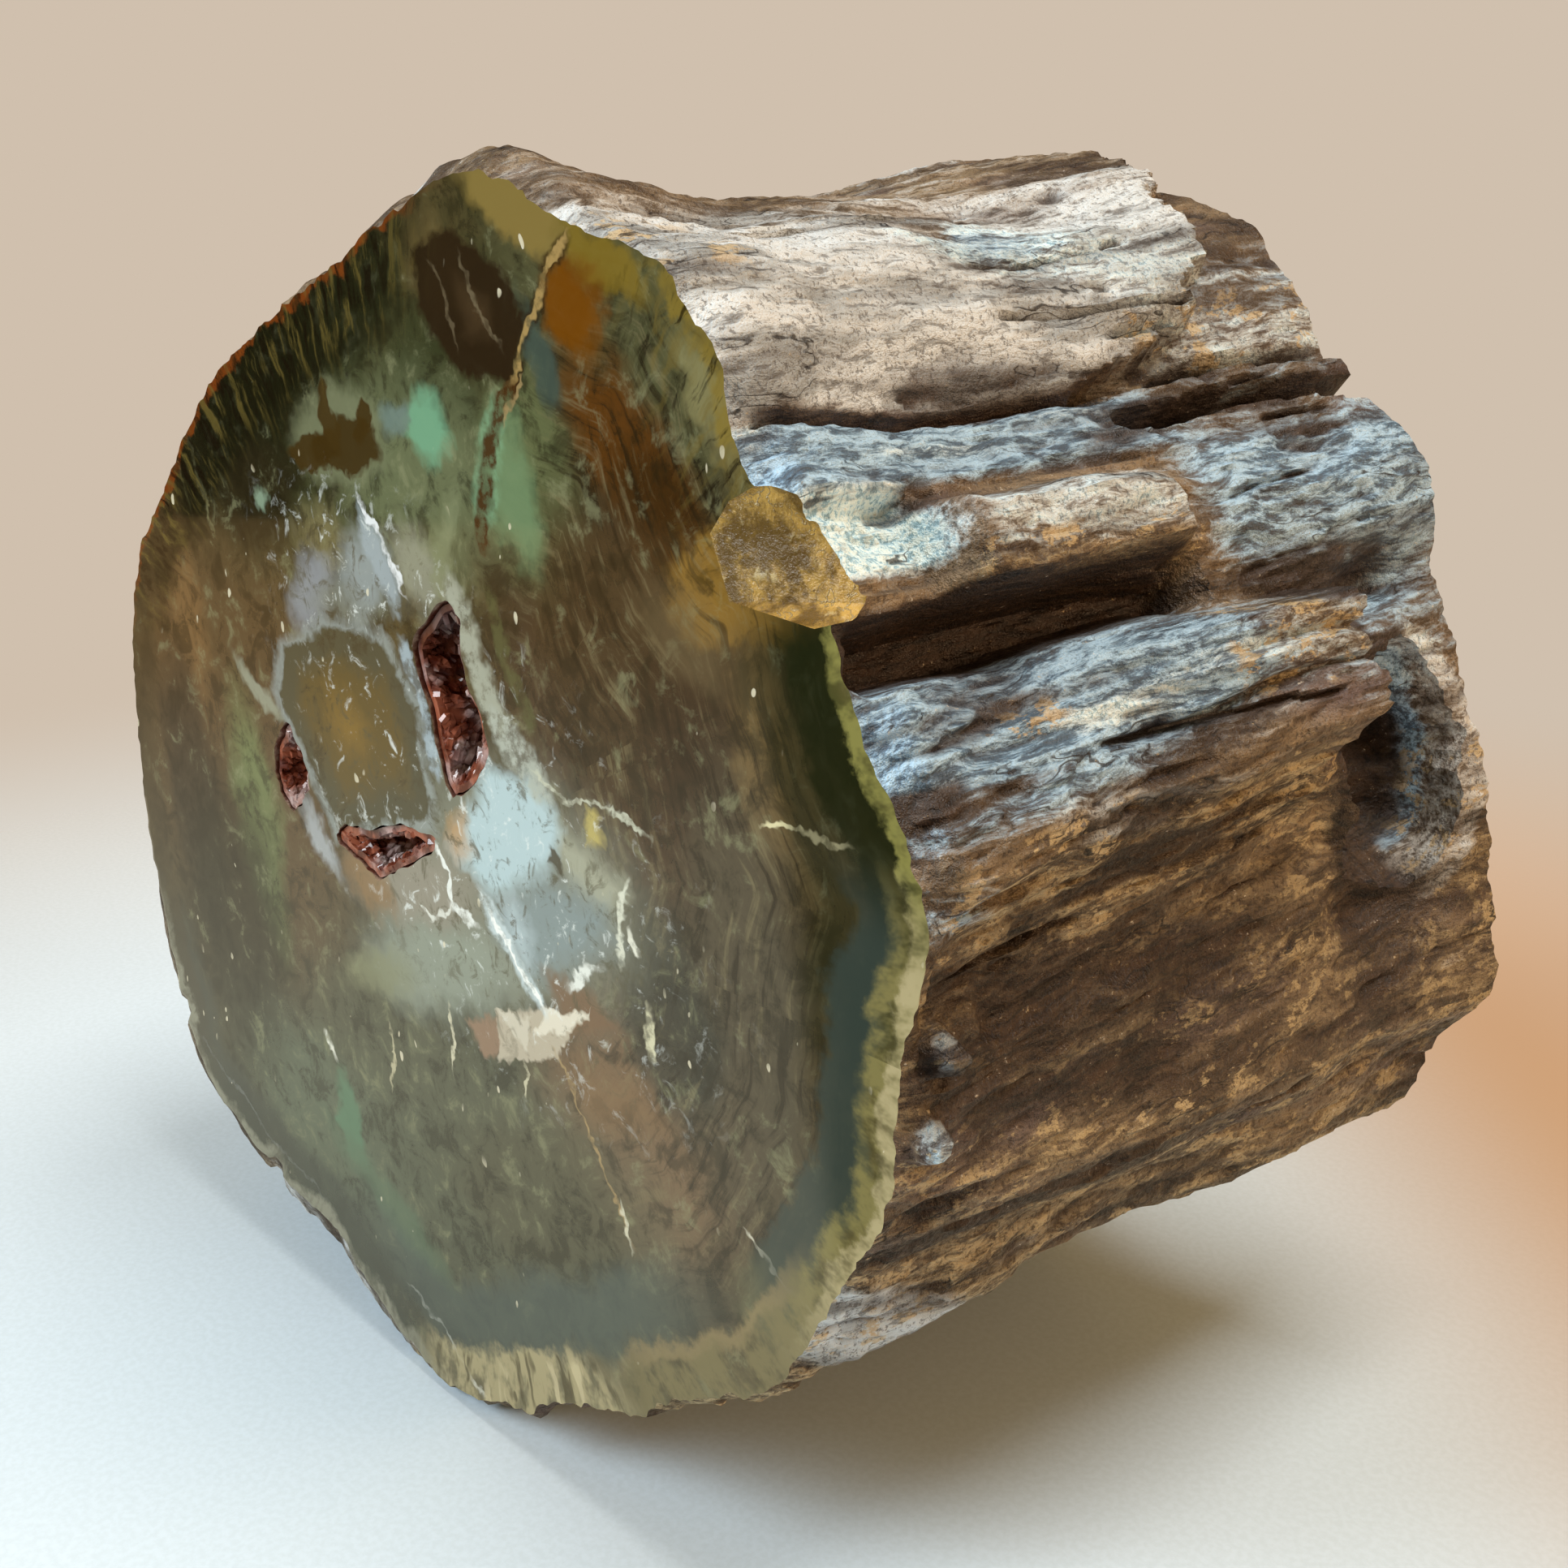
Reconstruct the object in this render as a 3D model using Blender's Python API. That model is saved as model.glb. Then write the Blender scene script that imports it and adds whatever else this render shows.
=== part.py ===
"""Petrified wood: a short length of fossil log, lying on its side.

One end is sawn flat and polished, the other is broken, and the flank keeps the fibrous
relief of the wood. Three hollows open in the polished face, each lined with quartz crystals.
Metres, +Z up. The polished face looks along -Y and the log stands on the plane Z = 0.
"""

import bmesh
import bpy
import numpy as np

MM = 0.001

# Driving dimensions. The log is described round an axis AXIS_HEIGHT above the table,
# from the polished face backwards; BOX_CENTRE then brings the origin under its middle.
# LENGTH is where the outline of the broken end is measured, MIDDLE_REACH where its middle lies.
AXIS_HEIGHT = 118 * MM
MEAN_RADIUS = 120 * MM
LENGTH = 165 * MM
MIDDLE_REACH = 155 * MM
NECK_DEPTH = 2.0 * MM
BOX_CENTRE_X = -1.8 * MM
BOX_CENTRE_Y = 83.0 * MM

# The mesh: points round the log, rings along it, and the rings of the broken end, as how far
# out each one lies as a share of the rim and how many points it has.
COLUMNS = 128
ROWS = 27
BACK_RINGS = [(0.91, 64), (0.77, 64), (0.60, 32), (0.42, 32), (0.22, 16)]

# Outline of the polished face and of the broken end, each as degrees round the axis
# (0 is +X, 90 is up) against the radius in millimetres.
FACE_OUTLINE = [
    (0, 118.5), (10, 125.5), (16, 123.5), (23, 119.5), (30, 121), (37, 123), (42, 118),
    (49, 124.5), (56, 126.5), (66, 121.5), (78, 120.5), (89, 111.5), (101, 104),
    (115, 102), (132, 105), (148, 108.5), (161, 117), (170, 119.5), (184, 121.5),
    (195, 128), (208, 135), (217, 138), (223, 134), (231, 126.5), (240, 118), (252, 116.5),
    (264, 118.5), (273, 115), (282, 109.5), (291, 105), (305, 106), (314, 107),
    (322, 112), (335, 114), (343, 116.5), (351, 119),
]
BACK_OUTLINE = [
    (6, 119), (18, 114), (24, 115.5), (32, 116.5), (40, 117.5), (46, 120), (55, 127.5),
    (61, 129), (68, 128.5), (75, 126.5), (90, 120), (110, 112), (130, 109), (150, 113),
    (170, 119), (190, 121), (210, 124), (225, 124), (240, 122), (255, 121), (270, 121),
    (287, 118), (302, 117), (316, 119), (326, 124), (333, 129), (342, 129), (351, 121),
]
# How far back the broken end reaches, as degrees against millimetres from the face.
REACH = [
    (0, 163), (12, 161), (24, 160), (36, 158), (44, 153), (52, 155), (62, 157), (72, 153),
    (90, 146), (115, 150), (140, 158), (165, 154), (190, 162), (215, 158), (240, 150),
    (265, 144), (290, 138), (318, 137), (326, 143), (334, 153), (343, 162), (352, 166),
]
# Where the top plate of outer wood has broken away: degrees against millimetres.
PLATE_END = [(44, 70), (46, 76), (47.4, 91), (49, 108), (53, 120), (60, 129), (68, 141), (78, 147), (100, 139)]

# Mouths of the hollows in the polished face, as (x, z) in millimetres, and how deep each one is.
HOLLOWS = {
    "long_hollow": {
        "mouth": [
            (10, 131), (14.5, 133), (19, 137), (22.5, 142), (20.5, 148), (16.5, 153), (15.5, 159), (15, 164.5),
            (11, 166.5), (5, 163), (-0.5, 157.5), (1, 152), (4, 146), (5.5, 140), (7, 134.5),
        ],
        "deep": 21 * MM,
    },
    "left_hollow": {
        "mouth": [
            (-50, 114), (-46, 115.5), (-42.5, 119), (-42, 124), (-44.5, 129), (-48.5, 132.5),
            (-52.5, 130), (-55, 125), (-55.5, 119.5), (-53.5, 115.5),
        ],
        "deep": 15 * MM,
    },
    "low_hollow": {
        "mouth": [
            (-18, 108), (-11.5, 110.5), (-5, 114.5), (2.5, 119), (3.5, 122.5), (-4, 122.5),
            (-13, 120.5), (-22, 118), (-30.5, 116), (-32.5, 112.5), (-26, 110),
        ],
        "deep": 18 * MM,
    },
}
HOLLOW_STEPS = 5
HOLLOW_TAPER = 0.42
CRUST_GAP = 0.3 * MM
CRUST_THICKNESS = 1.2 * MM
CRYSTAL_LENGTH = 0.9 * MM
CRUST_BELOW_FACE = 1.0 * MM
MOUTH_CLEARANCE = 5 * MM

# Rough lumps taken out of the log: the chip at the polished face's right edge and the socket of
# a lost branch. Each has a centre measured from the face's middle, half sizes, and a turn round Y.
SCOOPS = {
    "edge_chip": {
        "centre": (97 * MM, -6 * MM, 186.5 * MM),
        "half": (16 * MM, 11 * MM, 11.5 * MM),
        "turn": -0.5,
        "fineness": 2,
    },
    "branch_socket": {
        "centre": (119 * MM, 138 * MM, 131 * MM),
        "half": (25 * MM, 20.5 * MM, 23 * MM),
        "turn": -0.12,
        "fineness": 3,
    },
}


def around(knots, degrees):
    """A closed smooth curve through (degrees, value) knots: a cubic between each two."""
    at, value = np.array(knots, float).T
    at = np.concatenate([at[-2:] - 360, at, at[:2] + 360])
    value = np.concatenate([value[-2:], value, value[:2]])
    slope = np.gradient(value, at)
    turn = np.asarray(degrees, float) % 360
    i = np.clip(np.searchsorted(at, turn, side="right") - 1, 0, len(at) - 2)
    span = at[i + 1] - at[i]
    s = (turn - at[i]) / span
    start = (2 * s**3 - 3 * s**2 + 1) * value[i] + (s**3 - 2 * s**2 + s) * span * slope[i]
    end = (3 * s**2 - 2 * s**3) * value[i + 1] + (s**3 - s**2) * span * slope[i + 1]
    return start + end


def rise(value, edge, soft):
    """0 below the edge and 1 above it, smooth over soft on either side."""
    s = np.clip((value - edge) / (2 * soft) + 0.5, 0, 1)
    return s * s * (3 - 2 * s)


def window(value, low, high, soft):
    """1 between low and high, falling smoothly to 0 outside them."""
    return rise(value, low, soft) * (1 - rise(value, high, soft))


def hump(value, middle, reach):
    """A bell of height 1 at the middle that has nearly gone two reaches away."""
    return np.exp(-(((value - middle) / reach) ** 2))


def from_right(degrees):
    """Degrees round the axis counted from -180 to 180, so that the right side is near 0."""
    return (np.asarray(degrees, float) + 180) % 360 - 180


def lumps(degrees, y, around_count, along_mm, seed):
    """Smooth random lumps from -1 to 1: random values on a lattice, blended between its points."""
    rows = 12
    lattice = np.random.default_rng(seed).uniform(-1, 1, (around_count, rows))
    u = (np.asarray(degrees, float) % 360) / 360 * around_count
    v = np.asarray(y, float) / along_mm + 1
    iu, iv = np.floor(u).astype(int), np.floor(v).astype(int)
    fu, fv = u - iu, v - iv
    fu, fv = fu * fu * (3 - 2 * fu), fv * fv * (3 - 2 * fv)
    a, b = iu % around_count, (iu + 1) % around_count
    c, d = iv % rows, (iv + 1) % rows
    near = lattice[a, c] * (1 - fu) + lattice[b, c] * fu
    far = lattice[a, d] * (1 - fu) + lattice[b, d] * fu
    return near * (1 - fv) + far * fv


def right_side_relief(turn, y):
    """Relief of the side that shows in the light, in millimetres, from the top plate down to the belly."""
    drift = turn + 0.7 * lumps(turn, y, 40, 30, 3)
    broken_off = rise(y, around(PLATE_END, np.clip(drift, 44, 100)), 1.2)
    plate = window(drift, 45.6, 108, 0.9) * (2.0 * rise(y, 128, 24) - 4.5 * broken_off + 0.5)
    seam = -3.5 * hump(drift, 45.2, 0.7) * window(y, 5, 80, 4)
    slot = -10 * window(drift, 41.0, 43.6, 0.7) * window(y, 86, 170, 7)
    second_seam = -3.5 * hump(drift, 46.4, 0.7) * window(y, 112, 152, 4)
    blue_band = 2.0 * window(drift, 38.8, 44.3, 1.2) * (1 - rise(y, 92, 10))
    blue_chip = -4.5 * rise(drift, 33.0, 4.0) * (1 - rise(drift, 38.2, 1.3)) * (1 - rise(y, 25, 4))
    sunk = drift + 0.035 * (y - 25)
    ledge = 8.0 * rise(sunk, 30.1, 0.8) * (1 - rise(sunk, 36.4, 1.6)) * window(y, 25, 77, 5)
    ledge += 2.0 * window(sunk, 32, 38, 2) * window(y, 50, 88, 8)
    groove = -9.5 * window(drift, 25.8, 29.8, 0.9) * (1 - rise(y, 80, 5))
    nose = 121 - 2.2 * np.clip(15.5 - drift, 0, 12)
    wedge_top = 1 - rise(drift, 24.6, 2.6 - 0.013 * y)
    wedge = (3.0 + 0.075 * y) * rise(drift, 11.5, 6.0) * wedge_top * (1 - rise(y, nose, 3.5))
    wedge_split = -2.8 * hump(drift, 18.3, 0.8) * window(y, 58, 123, 8)
    under_wedge = -3.5 * hump(drift, 3.5, 5.5) * (1 - rise(y, 118, 10))
    dark_notch = -7.5 * hump(drift, 24.5, 3.0) * hump(y, 138, 13)
    return (
        plate + seam + slot + second_seam + blue_band + blue_chip + ledge
        + groove + wedge + wedge_split + under_wedge + dark_notch
    )


def socket_lip(turn, y):
    """The swelling round the socket of a lost branch at the right rear, and a dimple below it."""
    away = np.hypot((turn - 7) / 12, (y - 137.5) / 21.5)
    lip = 1.5 * hump(away, 1.2, 0.22) * rise(y, 140, 14) - 1.5 * rise(y, 135, 25) * hump(turn, 15, 12)
    dimple = -5.5 * hump(turn, -7, 4.0) * hump(y, 131, 14)
    return lip + dimple


def belly_relief(turn, y):
    """Long flutes on the lower right, between the branch socket and the table."""
    flutes = 2.2 * hump(turn, -13, 5) - 2.4 * hump(turn, -21, 3) + 2.0 * hump(turn, -27, 4)
    hollow_way = -5.0 * hump(turn, -37, 8) * window(y, 14, 82, 14)
    return flutes * rise(y, 12, 10) + hollow_way


def hidden_side_relief(degrees, y):
    """Top left, left and under sides: flutes, one stepped plate, an open seam and a small knot."""
    flutes = 3.0 * hump(degrees, 122, 9) - 3.4 * hump(degrees, 139, 5) + 3.2 * hump(degrees, 156, 8)
    step_end = 96 + 1.5 * np.clip(degrees - 160, 0, 30)
    plate = 4.5 * window(degrees, 162, 196, 0.9) * (1 - rise(y, step_end, 1.5))
    seam = -4.5 * hump(degrees, 197.5, 1.2) * window(y, 16, 150, 8)
    low_flutes = 3.0 * hump(degrees, 212, 6) - 3.6 * hump(degrees, 224, 4) + 2.4 * hump(degrees, 236, 6)
    around_knot = np.hypot((degrees - 178) / 8.5, (y - 122) / 17)
    knot = 6.0 * hump(around_knot, 0.8, 0.3) - 4.5 * (1 - rise(around_knot, 0.45, 0.25))
    return (flutes + low_flutes) * rise(y, 10, 8) + plate + seam + knot


def radius(degrees, y):
    """Radius of the flank in metres at an angle in degrees and a distance in millimetres from the face."""
    turn = from_right(degrees)
    share = y / (LENGTH / MM)
    body = around(FACE_OUTLINE, degrees) * (1 - share) + around(BACK_OUTLINE, degrees) * share
    waist = -7.0 * hump(turn, 74, 34) * window(y, 26, 112, 26)
    relief = right_side_relief(turn, y) + socket_lip(turn, y)
    relief += belly_relief(turn, y) + hidden_side_relief(degrees, y)
    relief += 3.0 * hump(turn, 33, 8) * rise(y, 140, 25)
    foot = 3.5 * hump(np.asarray(degrees, float) % 360, 271, 11) * rise(y, 9, 5)
    swell = 2.6 * lumps(degrees, y, 17, 46, 11) + 1.3 * lumps(degrees, y, 46, 30, 12)
    fibres = 0.9 * lumps(degrees, y, 120, 26, 13)
    grows_in = rise(y, 5, 5)
    return (body + waist + foot + relief * rise(y, 3, 3) + (swell + fibres) * grows_in) * MM


def face_bevel(degrees):
    """Width in metres of the chipped bevel along the polished face's lower left edge."""
    return (0.6 + 5.4 * window(np.asarray(degrees, float) % 360, 193, 262, 9)) * MM


def column_angles():
    """Degrees of the mesh's columns: closer together where the finest relief is, near 20 degrees."""
    even = np.arange(COLUMNS) / COLUMNS * 360 - 160
    from_fine = np.radians(even - 20)
    return (even - 26 * np.sin(from_fine) - 5 * np.sin(2 * from_fine)) % 360


def row_shares():
    """How far along the flank each ring lies, from 0 to 1: closer together near both ends."""
    even = np.linspace(0, 1, ROWS)
    return even - 0.35 * np.sin(2 * np.pi * even) / (2 * np.pi)


def flank_points(degrees, y):
    """World points of the flank, y in millimetres. Whatever would reach below the table is worn flat."""
    out = radius(degrees, y)
    x = out * np.cos(np.radians(degrees))
    z = np.maximum(AXIS_HEIGHT + out * np.sin(np.radians(degrees)), 0)
    return np.stack([x - BOX_CENTRE_X, y * MM - BOX_CENTRE_Y, z], axis=-1)


def patches(x, z, cell_mm, seed):
    """Smooth random patches from -1 to 1 across a plane, from random values on a square lattice."""
    count = 40
    lattice = np.random.default_rng(seed).uniform(-1, 1, (count, count))
    u = np.asarray(x, float) / cell_mm + count / 2
    v = np.asarray(z, float) / cell_mm + 1
    iu, iv = np.clip(np.floor(u).astype(int), 0, count - 2), np.clip(np.floor(v).astype(int), 0, count - 2)
    fu, fv = u - iu, v - iv
    fu, fv = fu * fu * (3 - 2 * fu), fv * fv * (3 - 2 * fv)
    near = lattice[iu, iv] * (1 - fu) + lattice[iu + 1, iv] * fu
    far = lattice[iu, iv + 1] * (1 - fu) + lattice[iu + 1, iv + 1] * fu
    return near * (1 - fv) + far * fv


def break_depth(degrees, share_out):
    """Distance of the broken end from the face, in millimetres, at a share of the way out to its rim."""
    x = MEAN_RADIUS / MM * share_out * np.cos(np.radians(degrees))
    z = AXIS_HEIGHT / MM + MEAN_RADIUS / MM * share_out * np.sin(np.radians(degrees))
    stepped = np.round(2.2 * patches(x + 0.3 * z, z, 38, 24)) * 2.4
    rough = stepped + 2.0 * patches(x, z, 26, 22) + 1.0 * patches(x, z, 11, 23)
    at_rim = around(REACH, degrees) + 1.1 * patches(x, z, 14, 21)
    middle = MIDDLE_REACH / MM + rough
    weight = rise(share_out, 0.78, 0.24)
    return middle * (1 - weight) + at_rim * weight


def skin(bm, rings):
    """Joins each ring of vertices to the next: to as many with quads, or to half as many with triangles."""
    for near, far in zip(rings, rings[1:]):
        step = len(near) // len(far)
        for i in range(len(far)):
            j = (i + 1) % len(far)
            if step == 1:
                bm.faces.new((near[i], near[j], far[j], far[i]))
                continue
            first, middle, last = near[2 * i], near[2 * i + 1], near[2 * j]
            bm.faces.new((first, middle, far[i]))
            bm.faces.new((middle, last, far[j]))
            bm.faces.new((middle, far[j], far[i]))


def ring_of(bm, points):
    return [bm.verts.new(point) for point in points]


def mesh_object(name, bm, collection):
    """Turns the bmesh into an object whose faces point outwards."""
    bmesh.ops.recalc_face_normals(bm, faces=bm.faces)
    mesh = bpy.data.meshes.new(name)
    bm.to_mesh(mesh)
    bm.free()
    obj = bpy.data.objects.new(name, mesh)
    collection.objects.link(obj)
    return obj


def make_log(collection):
    """The stone: rings lofted from the polished face back along the flank and in over the broken end."""
    bm = bmesh.new()
    degrees = column_angles()
    reach = break_depth(degrees, np.ones(COLUMNS))
    edge = flank_points(degrees, np.zeros(COLUMNS))
    centre = np.array([-BOX_CENTRE_X, 0, AXIS_HEIGHT])
    inward = edge - centre
    inward[:, 1] = 0
    length = np.linalg.norm(inward, axis=1, keepdims=True)
    edge -= inward / length * face_bevel(degrees)[:, None]
    edge[:, 2] = np.maximum(edge[:, 2], 0)
    rings = [ring_of(bm, edge)]
    first = NECK_DEPTH / MM
    for share in row_shares():
        rings.append(ring_of(bm, flank_points(degrees, first + (reach - first) * share)))
    rim = flank_points(degrees, reach)
    for share_out, count in BACK_RINGS:
        some = slice(None, None, COLUMNS // count)
        points = rim[some].copy()
        points[:, 0] = -BOX_CENTRE_X + (points[:, 0] + BOX_CENTRE_X) * share_out
        points[:, 2] = AXIS_HEIGHT + (points[:, 2] - AXIS_HEIGHT) * share_out
        points[:, 1] = break_depth(degrees[some], np.full(count, share_out)) * MM - BOX_CENTRE_Y
        rings.append(ring_of(bm, points))
    skin(bm, rings)
    bm.faces.new(rings[0])
    bm.faces.new(rings[-1])
    return mesh_object("petrified_log", bm, collection)


def hollow_ring(hollow, share_deep, inset, bumps=0.0):
    """One ring round a hollow's wall, at a share of its depth, drawn in by an inset and roughened by bumps."""
    mouth = np.array(hollow["mouth"], float) * MM
    middle = mouth.mean(axis=0)
    ring = middle + (mouth - middle) * (1 - HOLLOW_TAPER * share_deep**2)
    along = np.roll(ring, -1, axis=0) - np.roll(ring, 1, axis=0)
    outward = np.stack([along[:, 1], -along[:, 0]], axis=1) / np.linalg.norm(along, axis=1, keepdims=True)
    crystal = bumps * (np.arange(len(ring)) % 2)
    ring = ring - outward * (inset + crystal)[:, None]
    y = np.full(len(ring), hollow["deep"] * share_deep)
    return np.stack([ring[:, 0] - BOX_CENTRE_X, y - BOX_CENTRE_Y, ring[:, 1]], axis=-1)


def make_hollow_cutter(name, hollow, collection):
    """The space of one hollow, from just in front of the polished face to its rounded bottom."""
    bm = bmesh.new()
    mouth = hollow_ring(hollow, 0, 0)
    mouth[:, 1] -= MOUTH_CLEARANCE
    rings = [ring_of(bm, mouth)]
    for step in range(HOLLOW_STEPS + 1):
        rings.append(ring_of(bm, hollow_ring(hollow, step / HOLLOW_STEPS, 0)))
    skin(bm, rings)
    bm.faces.new(rings[0])
    bm.faces.new(rings[-1])
    return mesh_object(name + "_cutter", bm, collection)


def make_crust(name, hollow, collection):
    """The quartz lining of a hollow: a cup with a smooth back against the stone and a crystal-faced inside."""
    bm = bmesh.new()
    lip = CRUST_BELOW_FACE / hollow["deep"]
    floor = 1 - CRUST_GAP / hollow["deep"]
    inner_floor = floor - CRUST_THICKNESS / hollow["deep"]
    outside = np.linspace(floor, lip, HOLLOW_STEPS)
    inside = np.linspace(lip, inner_floor, HOLLOW_STEPS + 1)
    rings = [ring_of(bm, hollow_ring(hollow, share, CRUST_GAP)) for share in outside]
    for step, share in enumerate(inside):
        bumps = CRYSTAL_LENGTH if step % 2 else 0
        rings.append(ring_of(bm, hollow_ring(hollow, share, CRUST_GAP + CRUST_THICKNESS, bumps)))
    skin(bm, rings)
    bm.faces.new(rings[0])
    bm.faces.new(rings[-1])
    return mesh_object(name.replace("hollow", "crystal_crust"), bm, collection)


def make_scoop(name, scoop, collection):
    """A rough lump that takes its volume out of the log."""
    bm = bmesh.new()
    bmesh.ops.create_icosphere(bm, subdivisions=scoop["fineness"], radius=1)
    for vertex in bm.verts:
        rough = 1 + 0.06 * np.sin(7 * vertex.co.x + 4 * vertex.co.z) + 0.05 * np.sin(9 * vertex.co.z)
        vertex.co = [vertex.co[k] * scoop["half"][k] * rough for k in range(3)]
    lump = mesh_object(name + "_cutter", bm, collection)
    x, y, z = scoop["centre"]
    lump.location = (x - BOX_CENTRE_X, y - BOX_CENTRE_Y, z)
    lump.rotation_euler[1] = scoop["turn"]
    return lump


def cut(obj, cutter):
    """Takes the cutter's volume out of the object with a Boolean, and hides the cutter from renders."""
    modifier = obj.modifiers.new(cutter.name, "BOOLEAN")
    modifier.operation = "DIFFERENCE"
    modifier.solver = "EXACT"
    modifier.object = cutter
    cutter.hide_render = True
    cutter.display_type = "WIRE"


def give_finish(obj, colour, roughness):
    material = bpy.data.materials.new(obj.name)
    material.use_nodes = True
    shader = material.node_tree.nodes["Principled BSDF"]
    shader.inputs["Base Color"].default_value = (*colour, 1)
    shader.inputs["Roughness"].default_value = roughness
    shader.inputs["Metallic"].default_value = 0
    obj.data.materials.append(material)


def new_collection(name):
    collection = bpy.data.collections.new(name)
    bpy.context.scene.collection.children.link(collection)
    return collection


def main():
    for obj in list(bpy.data.objects):
        bpy.data.objects.remove(obj)
    parts = new_collection("petrified wood")
    cutters = new_collection("cutters")
    log = make_log(parts)
    give_finish(log, (0.23, 0.17, 0.11), 0.6)
    for name, hollow in HOLLOWS.items():
        cut(log, make_hollow_cutter(name, hollow, cutters))
        crust = make_crust(name, hollow, parts)
        give_finish(crust, (0.42, 0.24, 0.17), 0.3)
    for name, scoop in SCOOPS.items():
        cut(log, make_scoop(name, scoop, cutters))


main()
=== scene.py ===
"""Petrified wood: a short length of fossil log with one polished end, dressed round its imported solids.

Metres, +Z up. The polished face lies in a plane of constant Y and looks along -Y.
"""

import math

import bmesh
import bpy
import numpy as np
from mathutils import Matrix


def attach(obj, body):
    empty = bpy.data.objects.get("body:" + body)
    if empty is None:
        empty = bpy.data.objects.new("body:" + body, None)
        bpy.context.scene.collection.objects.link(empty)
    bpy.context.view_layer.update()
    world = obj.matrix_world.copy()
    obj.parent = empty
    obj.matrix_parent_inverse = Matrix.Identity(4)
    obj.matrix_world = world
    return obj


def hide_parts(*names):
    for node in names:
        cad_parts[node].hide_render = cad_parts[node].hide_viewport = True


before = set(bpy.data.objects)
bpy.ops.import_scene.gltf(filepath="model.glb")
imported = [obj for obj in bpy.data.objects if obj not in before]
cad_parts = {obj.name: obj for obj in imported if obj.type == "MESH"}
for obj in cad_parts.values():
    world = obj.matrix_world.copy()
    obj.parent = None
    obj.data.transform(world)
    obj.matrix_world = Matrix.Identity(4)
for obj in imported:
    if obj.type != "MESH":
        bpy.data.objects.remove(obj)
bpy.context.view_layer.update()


# The stone: one length of fossil log, agate and jasper in the shape of the wood. One end was sawn
# flat and polished; the flank kept the fibres, seams and broken plates of the outer wood; the
# other end is a rough break. It is a polar surface: radius against degrees round the log's axis
# and distance from the polished face, both ends closed by rings drawn in towards the axis.
MM = 0.001
PER_METRE = 1000
AXIS_X = 0.0018
AXIS_Z = 0.118
FACE_Y = -0.083
MEAN_RADIUS = 120
LENGTH = 165
MIDDLE_REACH = 155
NECK_DEPTH = 2.0
COLUMNS = 640
ROWS = 112
FACE_RINGS_IN = [40, 30, 22, 15.5, 10.5, 7, 4.4, 2.6, 1.2]
BACK_RINGS = (
    [(share, 640) for share in (0.985, 0.968, 0.948, 0.925, 0.9)]
    + [(share, 320) for share in (0.87, 0.835, 0.8, 0.76, 0.72, 0.68)]
    + [(share, 160) for share in (0.63, 0.58, 0.53, 0.48)]
    + [(share, 80) for share in (0.42, 0.36, 0.3)]
    + [(share, 40) for share in (0.22, 0.14)]
    + [(0.07, 20)]
)
FACE_OUTLINE = [
    (0, 118.5), (10, 125.5), (16, 123.5), (23, 119.5), (30, 121), (37, 123), (42, 118),
    (49, 124.5), (56, 126.5), (66, 121.5), (78, 120.5), (89, 111.5), (101, 104),
    (115, 102), (132, 105), (148, 108.5), (161, 117), (170, 119.5), (184, 121.5),
    (195, 128), (208, 135), (217, 138), (223, 134), (231, 126.5), (240, 118), (252, 116.5),
    (264, 118.5), (273, 115), (282, 109.5), (291, 105), (305, 106), (314, 107),
    (322, 112), (335, 114), (343, 116.5), (351, 119),
]
BACK_OUTLINE = [
    (6, 119), (18, 114), (24, 115.5), (32, 116.5), (40, 117.5), (46, 120), (55, 127.5),
    (61, 129), (68, 128.5), (75, 126.5), (90, 120), (110, 112), (130, 109), (150, 113),
    (170, 119), (190, 121), (210, 124), (225, 124), (240, 122), (255, 121), (270, 121),
    (287, 118), (302, 117), (316, 119), (326, 124), (333, 129), (342, 129), (351, 121),
]
REACH = [
    (0, 163), (12, 161), (24, 160), (36, 158), (44, 153), (52, 155), (62, 157), (72, 153),
    (90, 146), (115, 150), (140, 158), (165, 154), (190, 162), (215, 158), (240, 150),
    (265, 144), (290, 138), (318, 137), (326, 143), (334, 153), (343, 162), (352, 166),
]
PLATE_END = [(44, 70), (46, 76), (47.4, 91), (49, 108), (53, 120), (60, 129), (68, 141), (78, 147), (100, 139)]


def around(knots, degrees):
    """A closed smooth curve through (degrees, value) knots: a cubic between each two."""
    at, value = np.array(knots, float).T
    at = np.concatenate([at[-2:] - 360, at, at[:2] + 360])
    value = np.concatenate([value[-2:], value, value[:2]])
    slope = np.gradient(value, at)
    turn = np.asarray(degrees, float) % 360
    i = np.clip(np.searchsorted(at, turn, side="right") - 1, 0, len(at) - 2)
    span = at[i + 1] - at[i]
    s = (turn - at[i]) / span
    start = (2 * s**3 - 3 * s**2 + 1) * value[i] + (s**3 - 2 * s**2 + s) * span * slope[i]
    end = (3 * s**2 - 2 * s**3) * value[i + 1] + (s**3 - s**2) * span * slope[i + 1]
    return start + end


def rise(value, edge, soft):
    """0 below the edge and 1 above it, by s*s*(3-2s) over soft on either side."""
    s = np.clip((value - edge) / (2 * soft) + 0.5, 0, 1)
    return s * s * (3 - 2 * s)


def window(value, low, high, soft):
    """1 between low and high, falling smoothly to 0 outside them."""
    return rise(value, low, soft) * (1 - rise(value, high, soft))


def hump(value, middle, reach):
    """A bell of height 1 at the middle: e to the minus square of the distance in reaches."""
    return np.exp(-(((value - middle) / reach) ** 2))


def from_right(degrees):
    """Degrees round the axis counted from -180 to 180, so that the right side is near 0."""
    return (np.asarray(degrees, float) + 180) % 360 - 180


def smooth_part(value, whole):
    """How far a value is past its whole part, by s*s*(3-2s)."""
    s = value - whole
    return s * s * (3 - 2 * s)


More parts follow.
